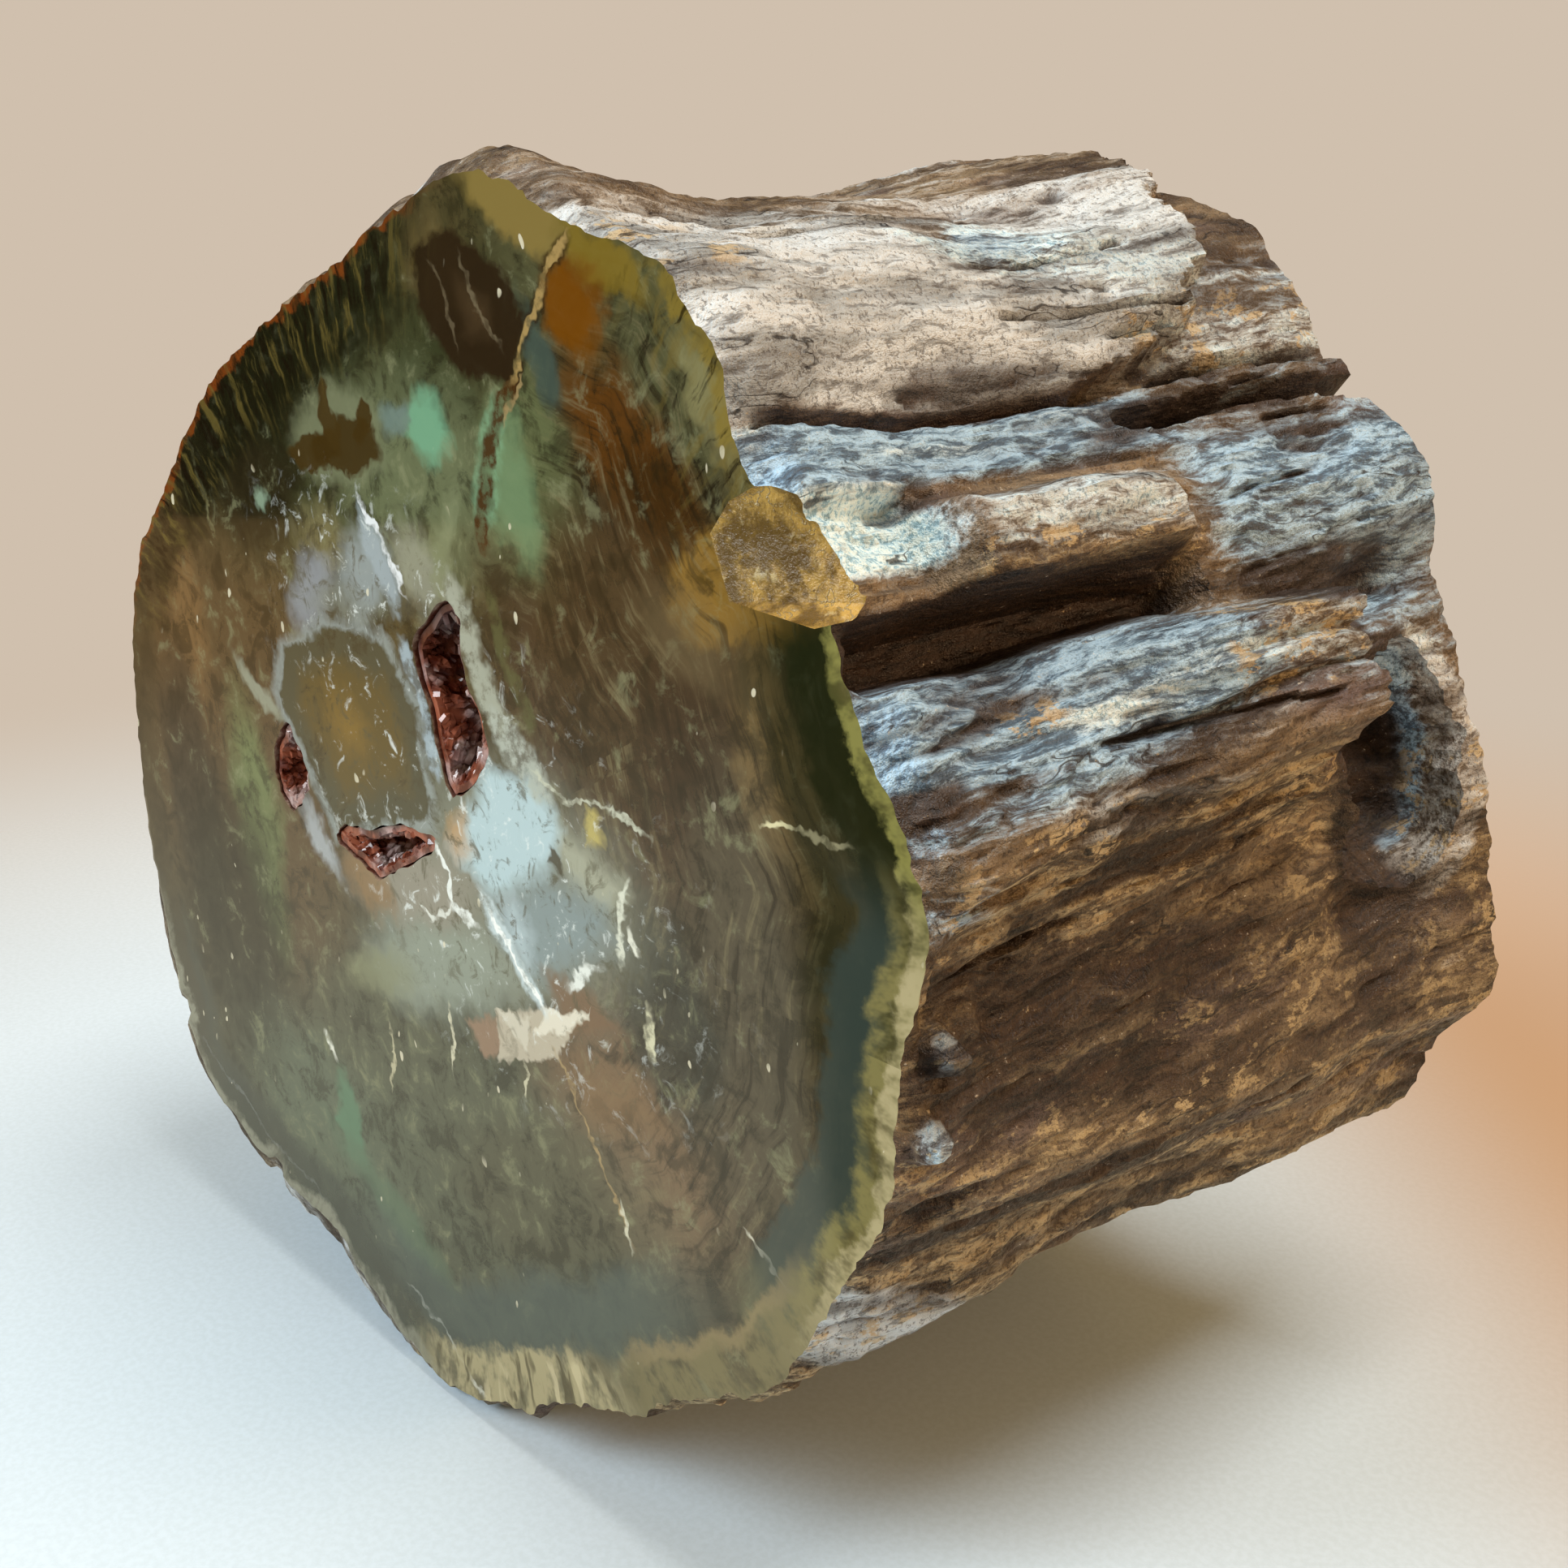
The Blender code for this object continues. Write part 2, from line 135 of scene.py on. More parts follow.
def lattice_blend(lattice, low, high, u_part, v_part):
    """A lattice's value between four of its knots: low and high are (column, row), blended by both parts."""
    near = lattice[low[0], low[1]] * (1 - u_part) + lattice[high[0], low[1]] * u_part
    far = lattice[low[0], high[1]] * (1 - u_part) + lattice[high[0], high[1]] * u_part
    return near * (1 - v_part) + far * v_part


def lumps(degrees, y, around_count, along_mm, seed, rows=12):
    """Smooth random lumps from -1 to 1: random values on a lattice round the log, blended by s*s*(3-2s)."""
    lattice = np.random.default_rng(seed).uniform(-1, 1, (around_count, rows))
    u = (np.asarray(degrees, float) % 360) / 360 * around_count
    v = np.asarray(y, float) / along_mm + 1
    iu, iv = np.floor(u).astype(int), np.floor(v).astype(int)
    low = iu % around_count, iv % rows
    high = (iu + 1) % around_count, (iv + 1) % rows
    return lattice_blend(lattice, low, high, smooth_part(u, iu), smooth_part(v, iv))


def terraces(value, soft):
    """The value rounded to whole steps, each riser smoothed over soft of a step."""
    whole = np.floor(value)
    return whole + rise(value - whole, 0.5, soft)


def plate_break(drift, y):
    """1 where the top plate of outer wood has broken away: past PLATE_END, whose edge steps in blocks."""
    blocks = 2.6 * terraces(1.6 * lumps(drift, y, 150, 40, 41), 0.1)
    splinters = 1.4 * lumps(drift, y, 420, 30, 42)
    return rise(y, around(PLATE_END, np.clip(drift, 44, 100)) + blocks + splinters, 0.7)


def right_side_relief(turn, y):
    """Relief of the side in the light, in mm, as a sum of plates, seams and ledges, from the top plate down."""
    drift = turn + 0.7 * lumps(turn, y, 40, 30, 3) + 0.22 * lumps(turn, y, 220, 11, 43, 24)
    plate = window(drift, 45.6, 108, 0.3) * (2.0 * rise(y, 128, 24) - 6.0 * plate_break(drift, y) + 0.5)
    seam = -6.0 * hump(drift, 45.1, 0.2) * window(y, 5, 84, 4)
    slot = -10 * window(drift, 41.6, 43.4, 0.35) * window(y, 86, 170, 5)
    second_seam = -4.0 * hump(drift, 46.6, 0.28) * window(y, 104, 150, 4)
    slab_crack = -4.0 * hump(drift, 49.6 + 0.02 * (y - 100), 0.3) * window(y, 91, 112, 3)
    blue_band = 2.0 * window(drift, 38.8, 44.3, 0.9) * (1 - rise(y, 92, 10))
    scallops = 0.9 * terraces(2.2 * lumps(drift, y, 130, 7, 44, 30), 0.16)
    blue_chip = (-4.6 + scallops) * rise(drift, 33.0, 3.2) * (1 - rise(drift, 38.2, 0.8)) * (1 - rise(y, 25, 2))
    sunk = drift + 0.035 * (y - 25)
    ledge = 8.0 * rise(sunk, 30.1, 0.6) * (1 - rise(sunk, 36.4, 1.6)) * window(y, 25, 77, 4)
    ledge += 2.0 * window(sunk, 32, 38, 2) * window(y, 50, 88, 8)
    groove = -9.5 * window(drift, 25.8, 29.8, 0.7) * (1 - rise(y, 80, 4))
    nose = 110 - 1.6 * np.clip(15.5 - drift, 0, 12) + 1.8 * terraces(1.7 * lumps(drift, y, 190, 60, 45), 0.12)
    wedge_top = 1 - rise(drift, 24.6, 2.2 - 0.012 * y)
    wedge = (3.4 + 0.08 * y) * rise(drift, 12.2, 3.4) * wedge_top * (1 - rise(y, nose, 1.8))
    wedge_split = -3.0 * hump(drift, 18.3 + 0.012 * (y - 90), 0.45) * window(y, 52, 112, 8)
    upper_split = -2.0 * hump(drift, 21.3 - 0.01 * (y - 90), 0.4) * window(y, 74, 112, 8)
    cleft = -5.0 * window(drift, 9, 25, 3) * window(y, 113, 121, 4)
    under_wedge = -4.2 * hump(drift, 4.5, 5.0) * (1 - rise(y, 118, 10))
    dark_notch = -7.5 * hump(drift, 24.5, 2.6) * hump(y, 138, 12)
    return (
        plate + seam + slot + second_seam + slab_crack + blue_band + blue_chip + ledge
        + groove + wedge + wedge_split + upper_split + cleft + under_wedge + dark_notch
    )


def rim_knobs(turn, y):
    """Small rounded knobs at the lower right edge of the polished face, in mm."""
    uneven = 0.3 * lumps(turn, y, 240, 3.4, 48, 56)
    upper = 4.8 * (1 - rise(np.hypot((turn - 0.4) / 2.1, (y - 7.2) / 4.0) + uneven, 0.75, 0.3))
    lower = 4.2 * (1 - rise(np.hypot((turn + 5.2) / 1.9, (y - 5.2) / 3.4) + uneven, 0.75, 0.3))
    return upper + lower


def socket_lip(turn, y):
    """The swelling round the socket of a lost branch at the right rear, and a dimple below it."""
    away = np.hypot((turn - 7) / 12, (y - 137.5) / 21.5)
    lip = 1.5 * hump(away, 1.2, 0.22) * rise(y, 140, 14) - 1.5 * rise(y, 135, 25) * hump(turn, 15, 12)
    rolls = 0.8 * np.sin(9 * away + 2 * lumps(turn, y, 60, 14, 46, 16)) * hump(away, 1.25, 0.3)
    dimple = -5.5 * hump(turn, -7, 4.0) * hump(y, 131, 14)
    return lip + rolls + dimple


def belly_relief(turn, y):
    """Long flutes on the lower right, between the branch socket and the table."""
    flutes = 2.2 * hump(turn, -13, 5) - 2.4 * hump(turn, -21, 3) + 2.0 * hump(turn, -27, 4)
    hollow_way = -5.0 * hump(turn, -37, 8) * window(y, 14, 82, 14)
    return flutes * rise(y, 12, 10) + hollow_way


def hidden_side_relief(degrees, y):
    """Top left, left and under sides: flutes, one stepped plate, an open seam and a small knot."""
    flutes = 3.0 * hump(degrees, 122, 9) - 3.4 * hump(degrees, 139, 5) + 3.2 * hump(degrees, 156, 8)
    blocks = 2.2 * terraces(1.5 * lumps(degrees, y, 130, 50, 47), 0.1)
    step_end = 96 + 1.5 * np.clip(degrees - 160, 0, 30) + blocks
    plate = 4.5 * window(degrees, 162, 196, 0.5) * (1 - rise(y, step_end, 0.8))
    seam = -4.5 * hump(degrees, 197.5, 0.8) * window(y, 16, 150, 8)
    low_flutes = 3.0 * hump(degrees, 212, 6) - 3.6 * hump(degrees, 224, 4) + 2.4 * hump(degrees, 236, 6)
    around_knot = np.hypot((degrees - 178) / 8.5, (y - 122) / 17)
    knot = 6.0 * hump(around_knot, 0.8, 0.3) - 4.5 * (1 - rise(around_knot, 0.45, 0.25))
    rings = 0.5 * np.sin(16 * around_knot) * (1 - rise(around_knot, 1.3, 0.4))
    return (flutes + low_flutes) * rise(y, 10, 8) + plate + seam + knot + rings


def open_cracks(degrees, y):
    """Thin cracks along the grain, in mm: narrow bells in degrees, each with a window along the log."""
    chance = np.random.default_rng(61)
    depth = np.zeros(np.broadcast(degrees, y).shape)
    for _ in range(64):
        middle, start, long, deep = chance.uniform((0, -10, 14, 1.0), (360, 150, 60, 3.2))
        lean = chance.uniform(-0.03, 0.03)
        off = from_right(degrees - middle - lean * (y - start) - 0.25 * lumps(degrees, y, 60, 5, 64, 50))
        depth -= deep * hump(off, 0, 0.24) * window(y, start, start + long, 3)
    return depth


def pits(degrees, y):
    """Small pits where the stone has spalled, in mm: bells, a little longer along the grain."""
    chance = np.random.default_rng(62)
    depth = np.zeros(np.broadcast(degrees, y).shape)
    for _ in range(90):
        middle, along, size, deep = chance.uniform((0, 8, 0.3, 0.5), (360, 158, 1.0, 1.5))
        off = np.hypot(from_right(degrees - middle) / size, (y - along) / (size * 3.4))
        depth -= deep * (1 - rise(off, 1.0, 0.45))
    return depth


def fibre_relief(degrees, y):
    """Fibres, layers, cracks and pits along the grain, in mm: random lumps stretched along the log."""
    turn = from_right(degrees)
    sway = degrees + 0.9 * lumps(degrees, y, 30, 34, 51)
    coarse = 0.6 * lumps(sway, y, 300, 18, 52, 16)
    fine = 0.42 * lumps(sway, y, 760, 9, 53, 24)
    grit = 0.34 * lumps(degrees, y, 900, 2.4, 54, 80)
    layers = 0.7 * terraces(2.6 * lumps(sway, y, 84, 26, 55) + 0.6 * lumps(sway, y, 330, 9, 56, 24), 0.1)
    calm = 1 - 0.5 * window(turn, 46, 84, 6) - 0.35 * window(turn, 38, 45, 1)
    woody = 1 + 0.3 * window(turn, 8, 25, 3)
    rear = 1 - 0.6 * window(turn, -25, 45, 6) * rise(y, 140, 12)
    belly = 1 - 0.45 * window(turn, -70, 6, 6)
    streaks = (coarse + fine) * calm * woody + layers * calm * belly
    return (streaks + open_cracks(degrees, y) * belly) * rear + grit + pits(degrees, y)


def body_radius(degrees, y):
    """Radius of the log without its relief, in mm: the two outlines blended along it, with a waist."""
    share = y / LENGTH
    body = around(FACE_OUTLINE, degrees) * (1 - share) + around(BACK_OUTLINE, degrees) * share
    return body - 7.0 * hump(from_right(degrees), 74, 34) * window(y, 26, 112, 26)


def form_relief(degrees, y):
    """All the relief larger than the fibres, in mm."""
    turn = from_right(degrees)
    relief = right_side_relief(turn, y) + socket_lip(turn, y)
    relief += belly_relief(turn, y) + hidden_side_relief(degrees, y)
    relief += 3.0 * hump(turn, 33, 8) * rise(y, 140, 25)
    foot = 3.5 * hump(np.asarray(degrees, float) % 360, 271, 11) * rise(y, 9, 5)
    swell = 2.6 * lumps(degrees, y, 17, 46, 11) + 1.3 * lumps(degrees, y, 46, 30, 12)
    fibres = 0.9 * lumps(degrees, y, 120, 26, 13)
    return foot + relief * rise(y, 3, 3) + (swell + fibres) * rise(y, 5, 5) + rim_knobs(turn, y)


def rim_chips(degrees, y):
    """Small bites out of the edge of the polished face, in mm, gone a few millimetres behind it."""
    turn = from_right(degrees)
    bites = 0.5 * lumps(degrees, y, 230, 5, 57, 40) + 0.35 * lumps(degrees, y, 560, 3, 58, 70)
    blocks = 0.9 * terraces(1.5 * lumps(degrees, y, 70, 9, 59, 24), 0.12)
    lower = window(np.asarray(degrees, float) % 360, 236, 330, 6)
    right = window(turn, 44, 66, 3) + window(turn, -14, 8, 4)
    first_notch = -3.4 * window(degrees, 210.2, 212.6, 0.35) * (1 - rise(y, 9, 2))
    second_notch = -3.0 * window(degrees, 231.6, 233.8, 0.35) * (1 - rise(y, 12, 2))
    return (bites + blocks * (lower + 0.5 * right)) * (1 - rise(y, 6, 3)) + first_notch + second_notch


def stone_radius(degrees, y):
    """Radius of the flank in mm at an angle in degrees and a distance in mm from the polished face."""
    degrees = np.asarray(degrees, float) % 360
    fibres = fibre_relief(degrees, y) * rise(y, 2.0, 2.0)
    return body_radius(degrees, y) + form_relief(degrees, y) + fibres + rim_chips(degrees, y)


def face_bevel(degrees):
    """Width in mm of the chipped bevel along the polished face's lower left edge."""
    degrees = np.asarray(degrees, float) % 360
    flakes = lumps(degrees, 0 * degrees, 120, 10, 60)
    return 0.6 + 5.4 * window(degrees, 193, 262, 9) + 0.8 * window(degrees, 205, 258, 5) * flakes


def column_angles():
    """Degrees of the columns: even steps less two sines, which bring them together near 20 degrees."""
    even = np.arange(COLUMNS) / COLUMNS * 360 - 160
    from_fine = np.radians(even - 20)
    return (even - 26 * np.sin(from_fine) - 5 * np.sin(2 * from_fine)) % 360


def row_shares():
    """How far along the flank each ring lies, from 0 to 1: closer together near both ends."""
    even = np.linspace(0, 1, ROWS)
    return even - 0.35 * np.sin(2 * np.pi * even) / (2 * np.pi)


def placed(degrees, radius_mm, y_mm):
    """Points in metres from degrees, a radius and a distance behind the face, no lower than the table."""
    angle = np.radians(degrees)
    x = AXIS_X + radius_mm * MM * np.cos(angle)
    z = np.maximum(AXIS_Z + radius_mm * MM * np.sin(angle), 0)
    return np.stack([x, FACE_Y + y_mm * MM + 0 * x, z], axis=-1)


def patches(x, z, cell_mm, seed):
    """Smooth random patches from -1 to 1 across a plane, from random values on a square lattice."""
    count = 40 if cell_mm >= 11 else 40 + int(1520 / cell_mm)
    lattice = np.random.default_rng(seed).uniform(-1, 1, (count, count))
    u = np.asarray(x, float) / cell_mm + count / 2
    v = np.asarray(z, float) / cell_mm + 1
    iu, iv = (np.clip(np.floor(part).astype(int), 0, count - 2) for part in (u, v))
    return lattice_blend(lattice, (iu, iv), (iu + 1, iv + 1), smooth_part(u, iu), smooth_part(v, iv))


def break_depth(degrees, share_out):
    """Distance of the broken end from the face in mm: stepped and splintered, meeting REACH at its rim."""
    x = MEAN_RADIUS * share_out * np.cos(np.radians(degrees))
    z = AXIS_Z * PER_METRE + MEAN_RADIUS * share_out * np.sin(np.radians(degrees))
    stepped = terraces(2.2 * patches(x + 0.3 * z, z, 38, 24) + 0.5, 0.08) * 2.4
    rough = stepped + 2.0 * patches(x, z, 26, 22) + 1.0 * patches(x, z, 11, 23)
    splinters = 1.1 * terraces(1.8 * patches(x, z, 5.2, 25), 0.15) + 0.7 * patches(x, z, 2.6, 26)
    at_rim = around(REACH, degrees) + 1.3 * patches(x, z, 14, 21)
    at_rim = at_rim + 0.5 * terraces(1.6 * patches(x, z, 8, 27), 0.2)
    weight = rise(share_out, 0.78, 0.24)
    return (MIDDLE_REACH + rough) * (1 - weight) + at_rim * weight + splinters * (1 - 0.7 * weight)


def stone_rings():
    """The stone's rings in order: out over the polished face, back along the flank, in over the break."""
    degrees = column_angles()
    level = 0 * degrees
    edge = stone_radius(degrees, level) - face_bevel(degrees)
    rings = [placed(degrees, edge - inward, level) for inward in FACE_RINGS_IN]
    rings.append(placed(degrees, edge, level))
    outer = stone_radius(degrees, level + NECK_DEPTH)
    for share in (0.3, 0.65):
        flaked = 0.35 * lumps(degrees, level, 320, 10, 63) * (face_bevel(degrees) > 1.5)
        rings.append(placed(degrees, edge + (outer - edge) * share + flaked, level + NECK_DEPTH * share))
    reach = break_depth(degrees, np.ones(COLUMNS))
    for share in row_shares():
        y = NECK_DEPTH + (reach - NECK_DEPTH) * share
        rings.append(placed(degrees, stone_radius(degrees, y), y))
    rim = rings[-1]
    middle = np.array([AXIS_X, 0, AXIS_Z])
    for share_out, count in BACK_RINGS:
        some = slice(None, None, COLUMNS // count)
        points = middle + (rim[some] - middle) * share_out
        points[:, 1] = FACE_Y + MM * break_depth(degrees[some], np.full(count, share_out))
        rings.append(points)
    return rings


def ring_faces(counts, starts):
    """Faces between rings, wound outwards: quads, or three triangles for each two-to-one step."""
    faces, bands = [], []
    for band, (many, few) in enumerate(zip(counts, counts[1:])):
        near, far = starts[band], starts[band + 1]
        i = np.arange(few)
        j = (i + 1) % few
        if many == few:
            made = np.stack([near + i, far + i, far + j, near + j], axis=-1).tolist()
        else:
            first, middle, last = near + 2 * i, near + 2 * i + 1, near + (2 * i + 2) % many
            made = np.stack([first, far + i, middle], axis=-1).tolist()
            made += np.stack([middle, far + i, far + j], axis=-1).tolist()
            made += np.stack([middle, far + j, last], axis=-1).tolist()
        faces += made
        bands += [band] * len(made)
    return faces, bands


POLISHED, WEATHERED, BROKEN, HOLLOW_WALL, GOLD_CHIP = range(5)


def closed_shell(rings):
    """The faces of a closed shell of rings, with one face over each end, and the band of each face between."""
    counts = [len(ring) for ring in rings]
    starts = np.concatenate([[0], np.cumsum(counts)[:-1]])
    faces, bands = ring_faces(counts, starts)
    faces.append(list(range(counts[0])))
    faces.append(list(range(starts[-1] + counts[-1] - 1, starts[-1] - 1, -1)))
    return faces, bands


def closed_from_rings(name, rings, slot_of_band, cap_slots):
    """A closed mesh from its rings, each band of faces given a material slot, with a face over each end."""
    faces, bands = closed_shell(rings)
    slots = [slot_of_band(band) for band in bands] + list(cap_slots)
    mesh = bpy.data.meshes.new(name)
    mesh.from_pydata(np.concatenate(rings).tolist(), [], faces)
    mesh.polygons.foreach_set("material_index", np.array(slots, dtype=np.int32))
    mesh.update()
    return mesh


FACE_BANDS = len(FACE_RINGS_IN)
FLANK_BANDS = FACE_BANDS + 2 + ROWS


def stone_slot(band):
    """Polished out to the rim, weathered along the flank, broken over the rear."""
    if band < FACE_BANDS:
        return POLISHED
    return WEATHERED if band < FLANK_BANDS else BROKEN


def shown(name, data):
    """A new object of the data at the origin, linked into the scene."""
    made = bpy.data.objects.new(name, data)
    bpy.context.scene.collection.objects.link(made)
    return made


stone = shown("stone", closed_from_rings("stone", stone_rings(), stone_slot, (POLISHED, BROKEN)))


# The places where the stone is missing: three druse-lined hollows in the polished face, the gold
# chip at its right edge and the cup where a branch was lost. Each is a closed lump taken out of
# the stone, and its own wall then shows.
HOLLOWS = {
    "long": {
        "mouth": [
            (10, 131), (14.5, 133), (19, 137), (22.5, 142), (20.5, 148), (16.5, 153), (15.5, 159), (15, 164.5),
            (11, 166.5), (5, 163), (-0.5, 157.5), (1, 152), (4, 146), (5.5, 140), (7, 134.5),
        ],
        "deep": 21,
        "seed": 71,
    },
    "left": {
        "mouth": [
            (-50, 114), (-46, 115.5), (-42.5, 119), (-42, 124), (-44.5, 129), (-48.5, 132.5),
            (-52.5, 130), (-55, 125), (-55.5, 119.5), (-53.5, 115.5),
        ],
        "deep": 15,
        "seed": 72,
    },
    "low": {
        "mouth": [
            (-18, 108), (-11.5, 110.5), (-5, 114.5), (2.5, 119), (3.5, 122.5), (-4, 122.5),
            (-13, 120.5), (-22, 118), (-30.5, 116), (-32.5, 112.5), (-26, 110),
        ],
        "deep": 18,
        "seed": 73,
    },
}
HOLLOW_TAPER = 0.42
HOLLOW_ROUGH = 0.55
MOUTH_POINTS = 96


def mouth_curve(mouth, points):
    """A closed smooth curve through the mouth's points: a Catmull-Rom cubic between each two."""
    knots = np.array(mouth, float)
    t = np.arange(points) / points * len(knots)
    i = np.floor(t).astype(int)
    s = (t - i)[:, None]
    a, b, c, d = (knots[(i + k) % len(knots)] for k in (-1, 0, 1, 2))
    return 0.5 * (2 * b + (c - a) * s + (2 * a - 5 * b + 4 * c - d) * s**2 + (3 * b - a - 3 * c + d) * s**3)


def hollow_ring(hollow, share_deep, inset_mm, rough_mm):
    """One ring of a hollow: the mouth drawn in as the square of the depth, set in and roughened."""
    mouth = mouth_curve(hollow["mouth"], MOUTH_POINTS)
    middle = np.array(hollow["mouth"], float).mean(axis=0)
    ring = middle + (mouth - middle) * (1 - HOLLOW_TAPER * share_deep**2)
    along = np.roll(ring, -2, axis=0) - np.roll(ring, 2, axis=0)
    outward = np.stack([along[:, 1], -along[:, 0]], axis=1) / np.linalg.norm(along, axis=1, keepdims=True)
    at = np.arange(MOUTH_POINTS) / MOUTH_POINTS * 360
    down, seed = share_deep * 10, hollow["seed"]
    uneven = lumps(at, down, 18, 2.2, seed) + 0.7 * lumps(at, down, 44, 1.4, seed + 10)
    ring = ring - outward * (inset_mm + rough_mm * (0.6 + uneven))[:, None]
    low, high = mouth[:, 1].min(), mouth[:, 1].max()
    up = (mouth[:, 1] - low) / (high - low)
    depth = hollow["deep"] * share_deep * (0.55 + 0.45 * rise(up, 0.45, 0.5))
    return np.stack([AXIS_X + ring[:, 0] * MM, FACE_Y + depth * MM, ring[:, 1] * MM], axis=-1)


def hollow_lump(name, hollow):
    """The space of one hollow, from in front of the face to its rounded bottom."""
    front = hollow_ring(hollow, 0, 0, HOLLOW_ROUGH)
    front[:, 1] -= 0.004
    rings = [front] + [hollow_ring(hollow, share, 0, HOLLOW_ROUGH) for share in np.linspace(0, 1, 13)]
    return closed_from_rings(name, rings, lambda band: HOLLOW_WALL, (HOLLOW_WALL, HOLLOW_WALL))


CUP_AT = (0.119, 0.1365, 0.131)
CUP_HALF = (0.0235, 0.0185, 0.022)
CUP_TURN = -0.12
CUP_ROWS, CUP_COLUMNS = 60, 96
CHIP_CORNERS = [
    (80, -4, 187), (80, 0, 187), (84, -4, 192), (84, 0, 192), (90, -4, 195), (90, 0, 195),
    (99, -4, 198), (99, 2, 198), (112, -4, 192), (112, 8, 191), (113, -4, 181), (113, 9, 181),
    (101, -4, 177), (101, 1, 177), (92, -4, 178), (92, 0, 178), (84, -4, 178), (84, 0, 178),
    (95, 4, 190), (99, 3.2, 182), (106, 8, 187), (88, 1.6, 184),
]


def chip_lump():
    """The gold chip, with flat facets: the hull round its corners in mm across, behind the face and up."""
    shaped = bmesh.new()
    for x, y, z in CHIP_CORNERS:
        shaped.verts.new((AXIS_X + x * MM, FACE_Y + y * MM, z * MM))
    bmesh.ops.convex_hull(shaped, input=shaped.verts)
    bmesh.ops.delete(shaped, geom=[corner for corner in shaped.verts if not corner.link_faces], context="VERTS")
    bmesh.ops.recalc_face_normals(shaped, faces=shaped.faces)
    for face in shaped.faces:
        face.material_index = GOLD_CHIP
    mesh = bpy.data.meshes.new("gold_chip")
    shaped.to_mesh(mesh)
    shaped.free()
    return mesh


def socket_lump():
    """The branch cup: an egg layered like a callus, its rolls running round the branch's way out."""
    turns = np.arange(CUP_COLUMNS) / CUP_COLUMNS * 2 * np.pi
    across, up = np.meshgrid(turns, np.linspace(0.03, np.pi - 0.03, CUP_ROWS))
    unit = np.stack([np.cos(across) * np.sin(up), np.sin(across) * np.sin(up), np.cos(up)], axis=-1)
    rough = 1 + 0.06 * np.sin(7 * unit[..., 0] + 4 * unit[..., 2]) + 0.05 * np.sin(9 * unit[..., 2])
    out = np.hypot(unit[..., 1], unit[..., 2])
    rolls = 0.03 * terraces(7 * out + 0.8 * np.sin(3 * across) + 0.6 * np.sin(11 * unit[..., 2]), 0.22) - 0.12
    fine = 0.012 * np.sin(23 * unit[..., 1] + 5 * np.sin(9 * unit[..., 2]))
    fine = fine + 0.01 * np.sin(31 * unit[..., 2] + 3)
    body = unit * (rough + rolls + fine)[..., None] * np.array(CUP_HALF)
    x = body[..., 0] * np.cos(CUP_TURN) + body[..., 2] * np.sin(CUP_TURN)
    z = -body[..., 0] * np.sin(CUP_TURN) + body[..., 2] * np.cos(CUP_TURN)
    rings = np.stack([AXIS_X + CUP_AT[0] + x, FACE_Y + CUP_AT[1] + body[..., 1], CUP_AT[2] + z], axis=-1)
    return closed_from_rings("branch_cup", list(rings), lambda band: WEATHERED, (WEATHERED, WEATHERED))


def welded(meshes):
    """The lumps joined into one object, its faces turned outwards."""
    joined = bmesh.new()
    for mesh in meshes:
        joined.from_mesh(mesh)
    bmesh.ops.recalc_face_normals(joined, faces=joined.faces)
    whole = bpy.data.meshes.new("missing_stone")
    joined.to_mesh(whole)
    joined.free()
    return shown("missing_stone", whole)


def take_out(lump, stone):
    """Takes the lump's volume out of the stone, and leaves the stone a plain mesh."""
    cutting = stone.modifiers.new("missing_stone", "BOOLEAN")
    cutting.operation = "DIFFERENCE"
    cutting.solver = "EXACT"
    cutting.object = lump
    view = bpy.context.evaluated_depsgraph_get()
    cut = bpy.data.meshes.new_from_object(stone.evaluated_get(view))
    stone.modifiers.clear()
    stone.data = cut
    bpy.data.objects.remove(lump)


SHARP_DEGREES = 38
FINISHES = ["polished_face", "weathered_flank", "broken_end", "hollow_wall", "gold_chip"]
finishes = [bpy.data.materials.new(name) for name in FINISHES]
hollow_lumps = [hollow_lump(name, hollow) for name, hollow in HOLLOWS.items()]
lumps_out = welded(hollow_lumps + [chip_lump(), socket_lump()])
for owner in (stone, lumps_out):
    for finish in finishes:
        owner.data.materials.append(finish)
take_out(lumps_out, stone)


def read_from(items, name, kind=np.int32, wide=1):
    """One property of all the items, wide values each, as a flat array."""
    values = np.zeros(len(items) * wide, dtype=kind)
    items.foreach_get(name, values)
    return values


def mesh_points(mesh):
    """The mesh's points as an array, in metres."""
    return read_from(mesh.vertices, "co", float, 3).reshape(-1, 3)


def log_place(points):
    """Degrees round the axis and millimetres behind the polished face, for points in metres."""
    degrees = np.degrees(np.arctan2(points[:, 2] - AXIS_Z, points[:, 0] - AXIS_X)) % 360
    return degrees, (points[:, 1] - FACE_Y) * PER_METRE


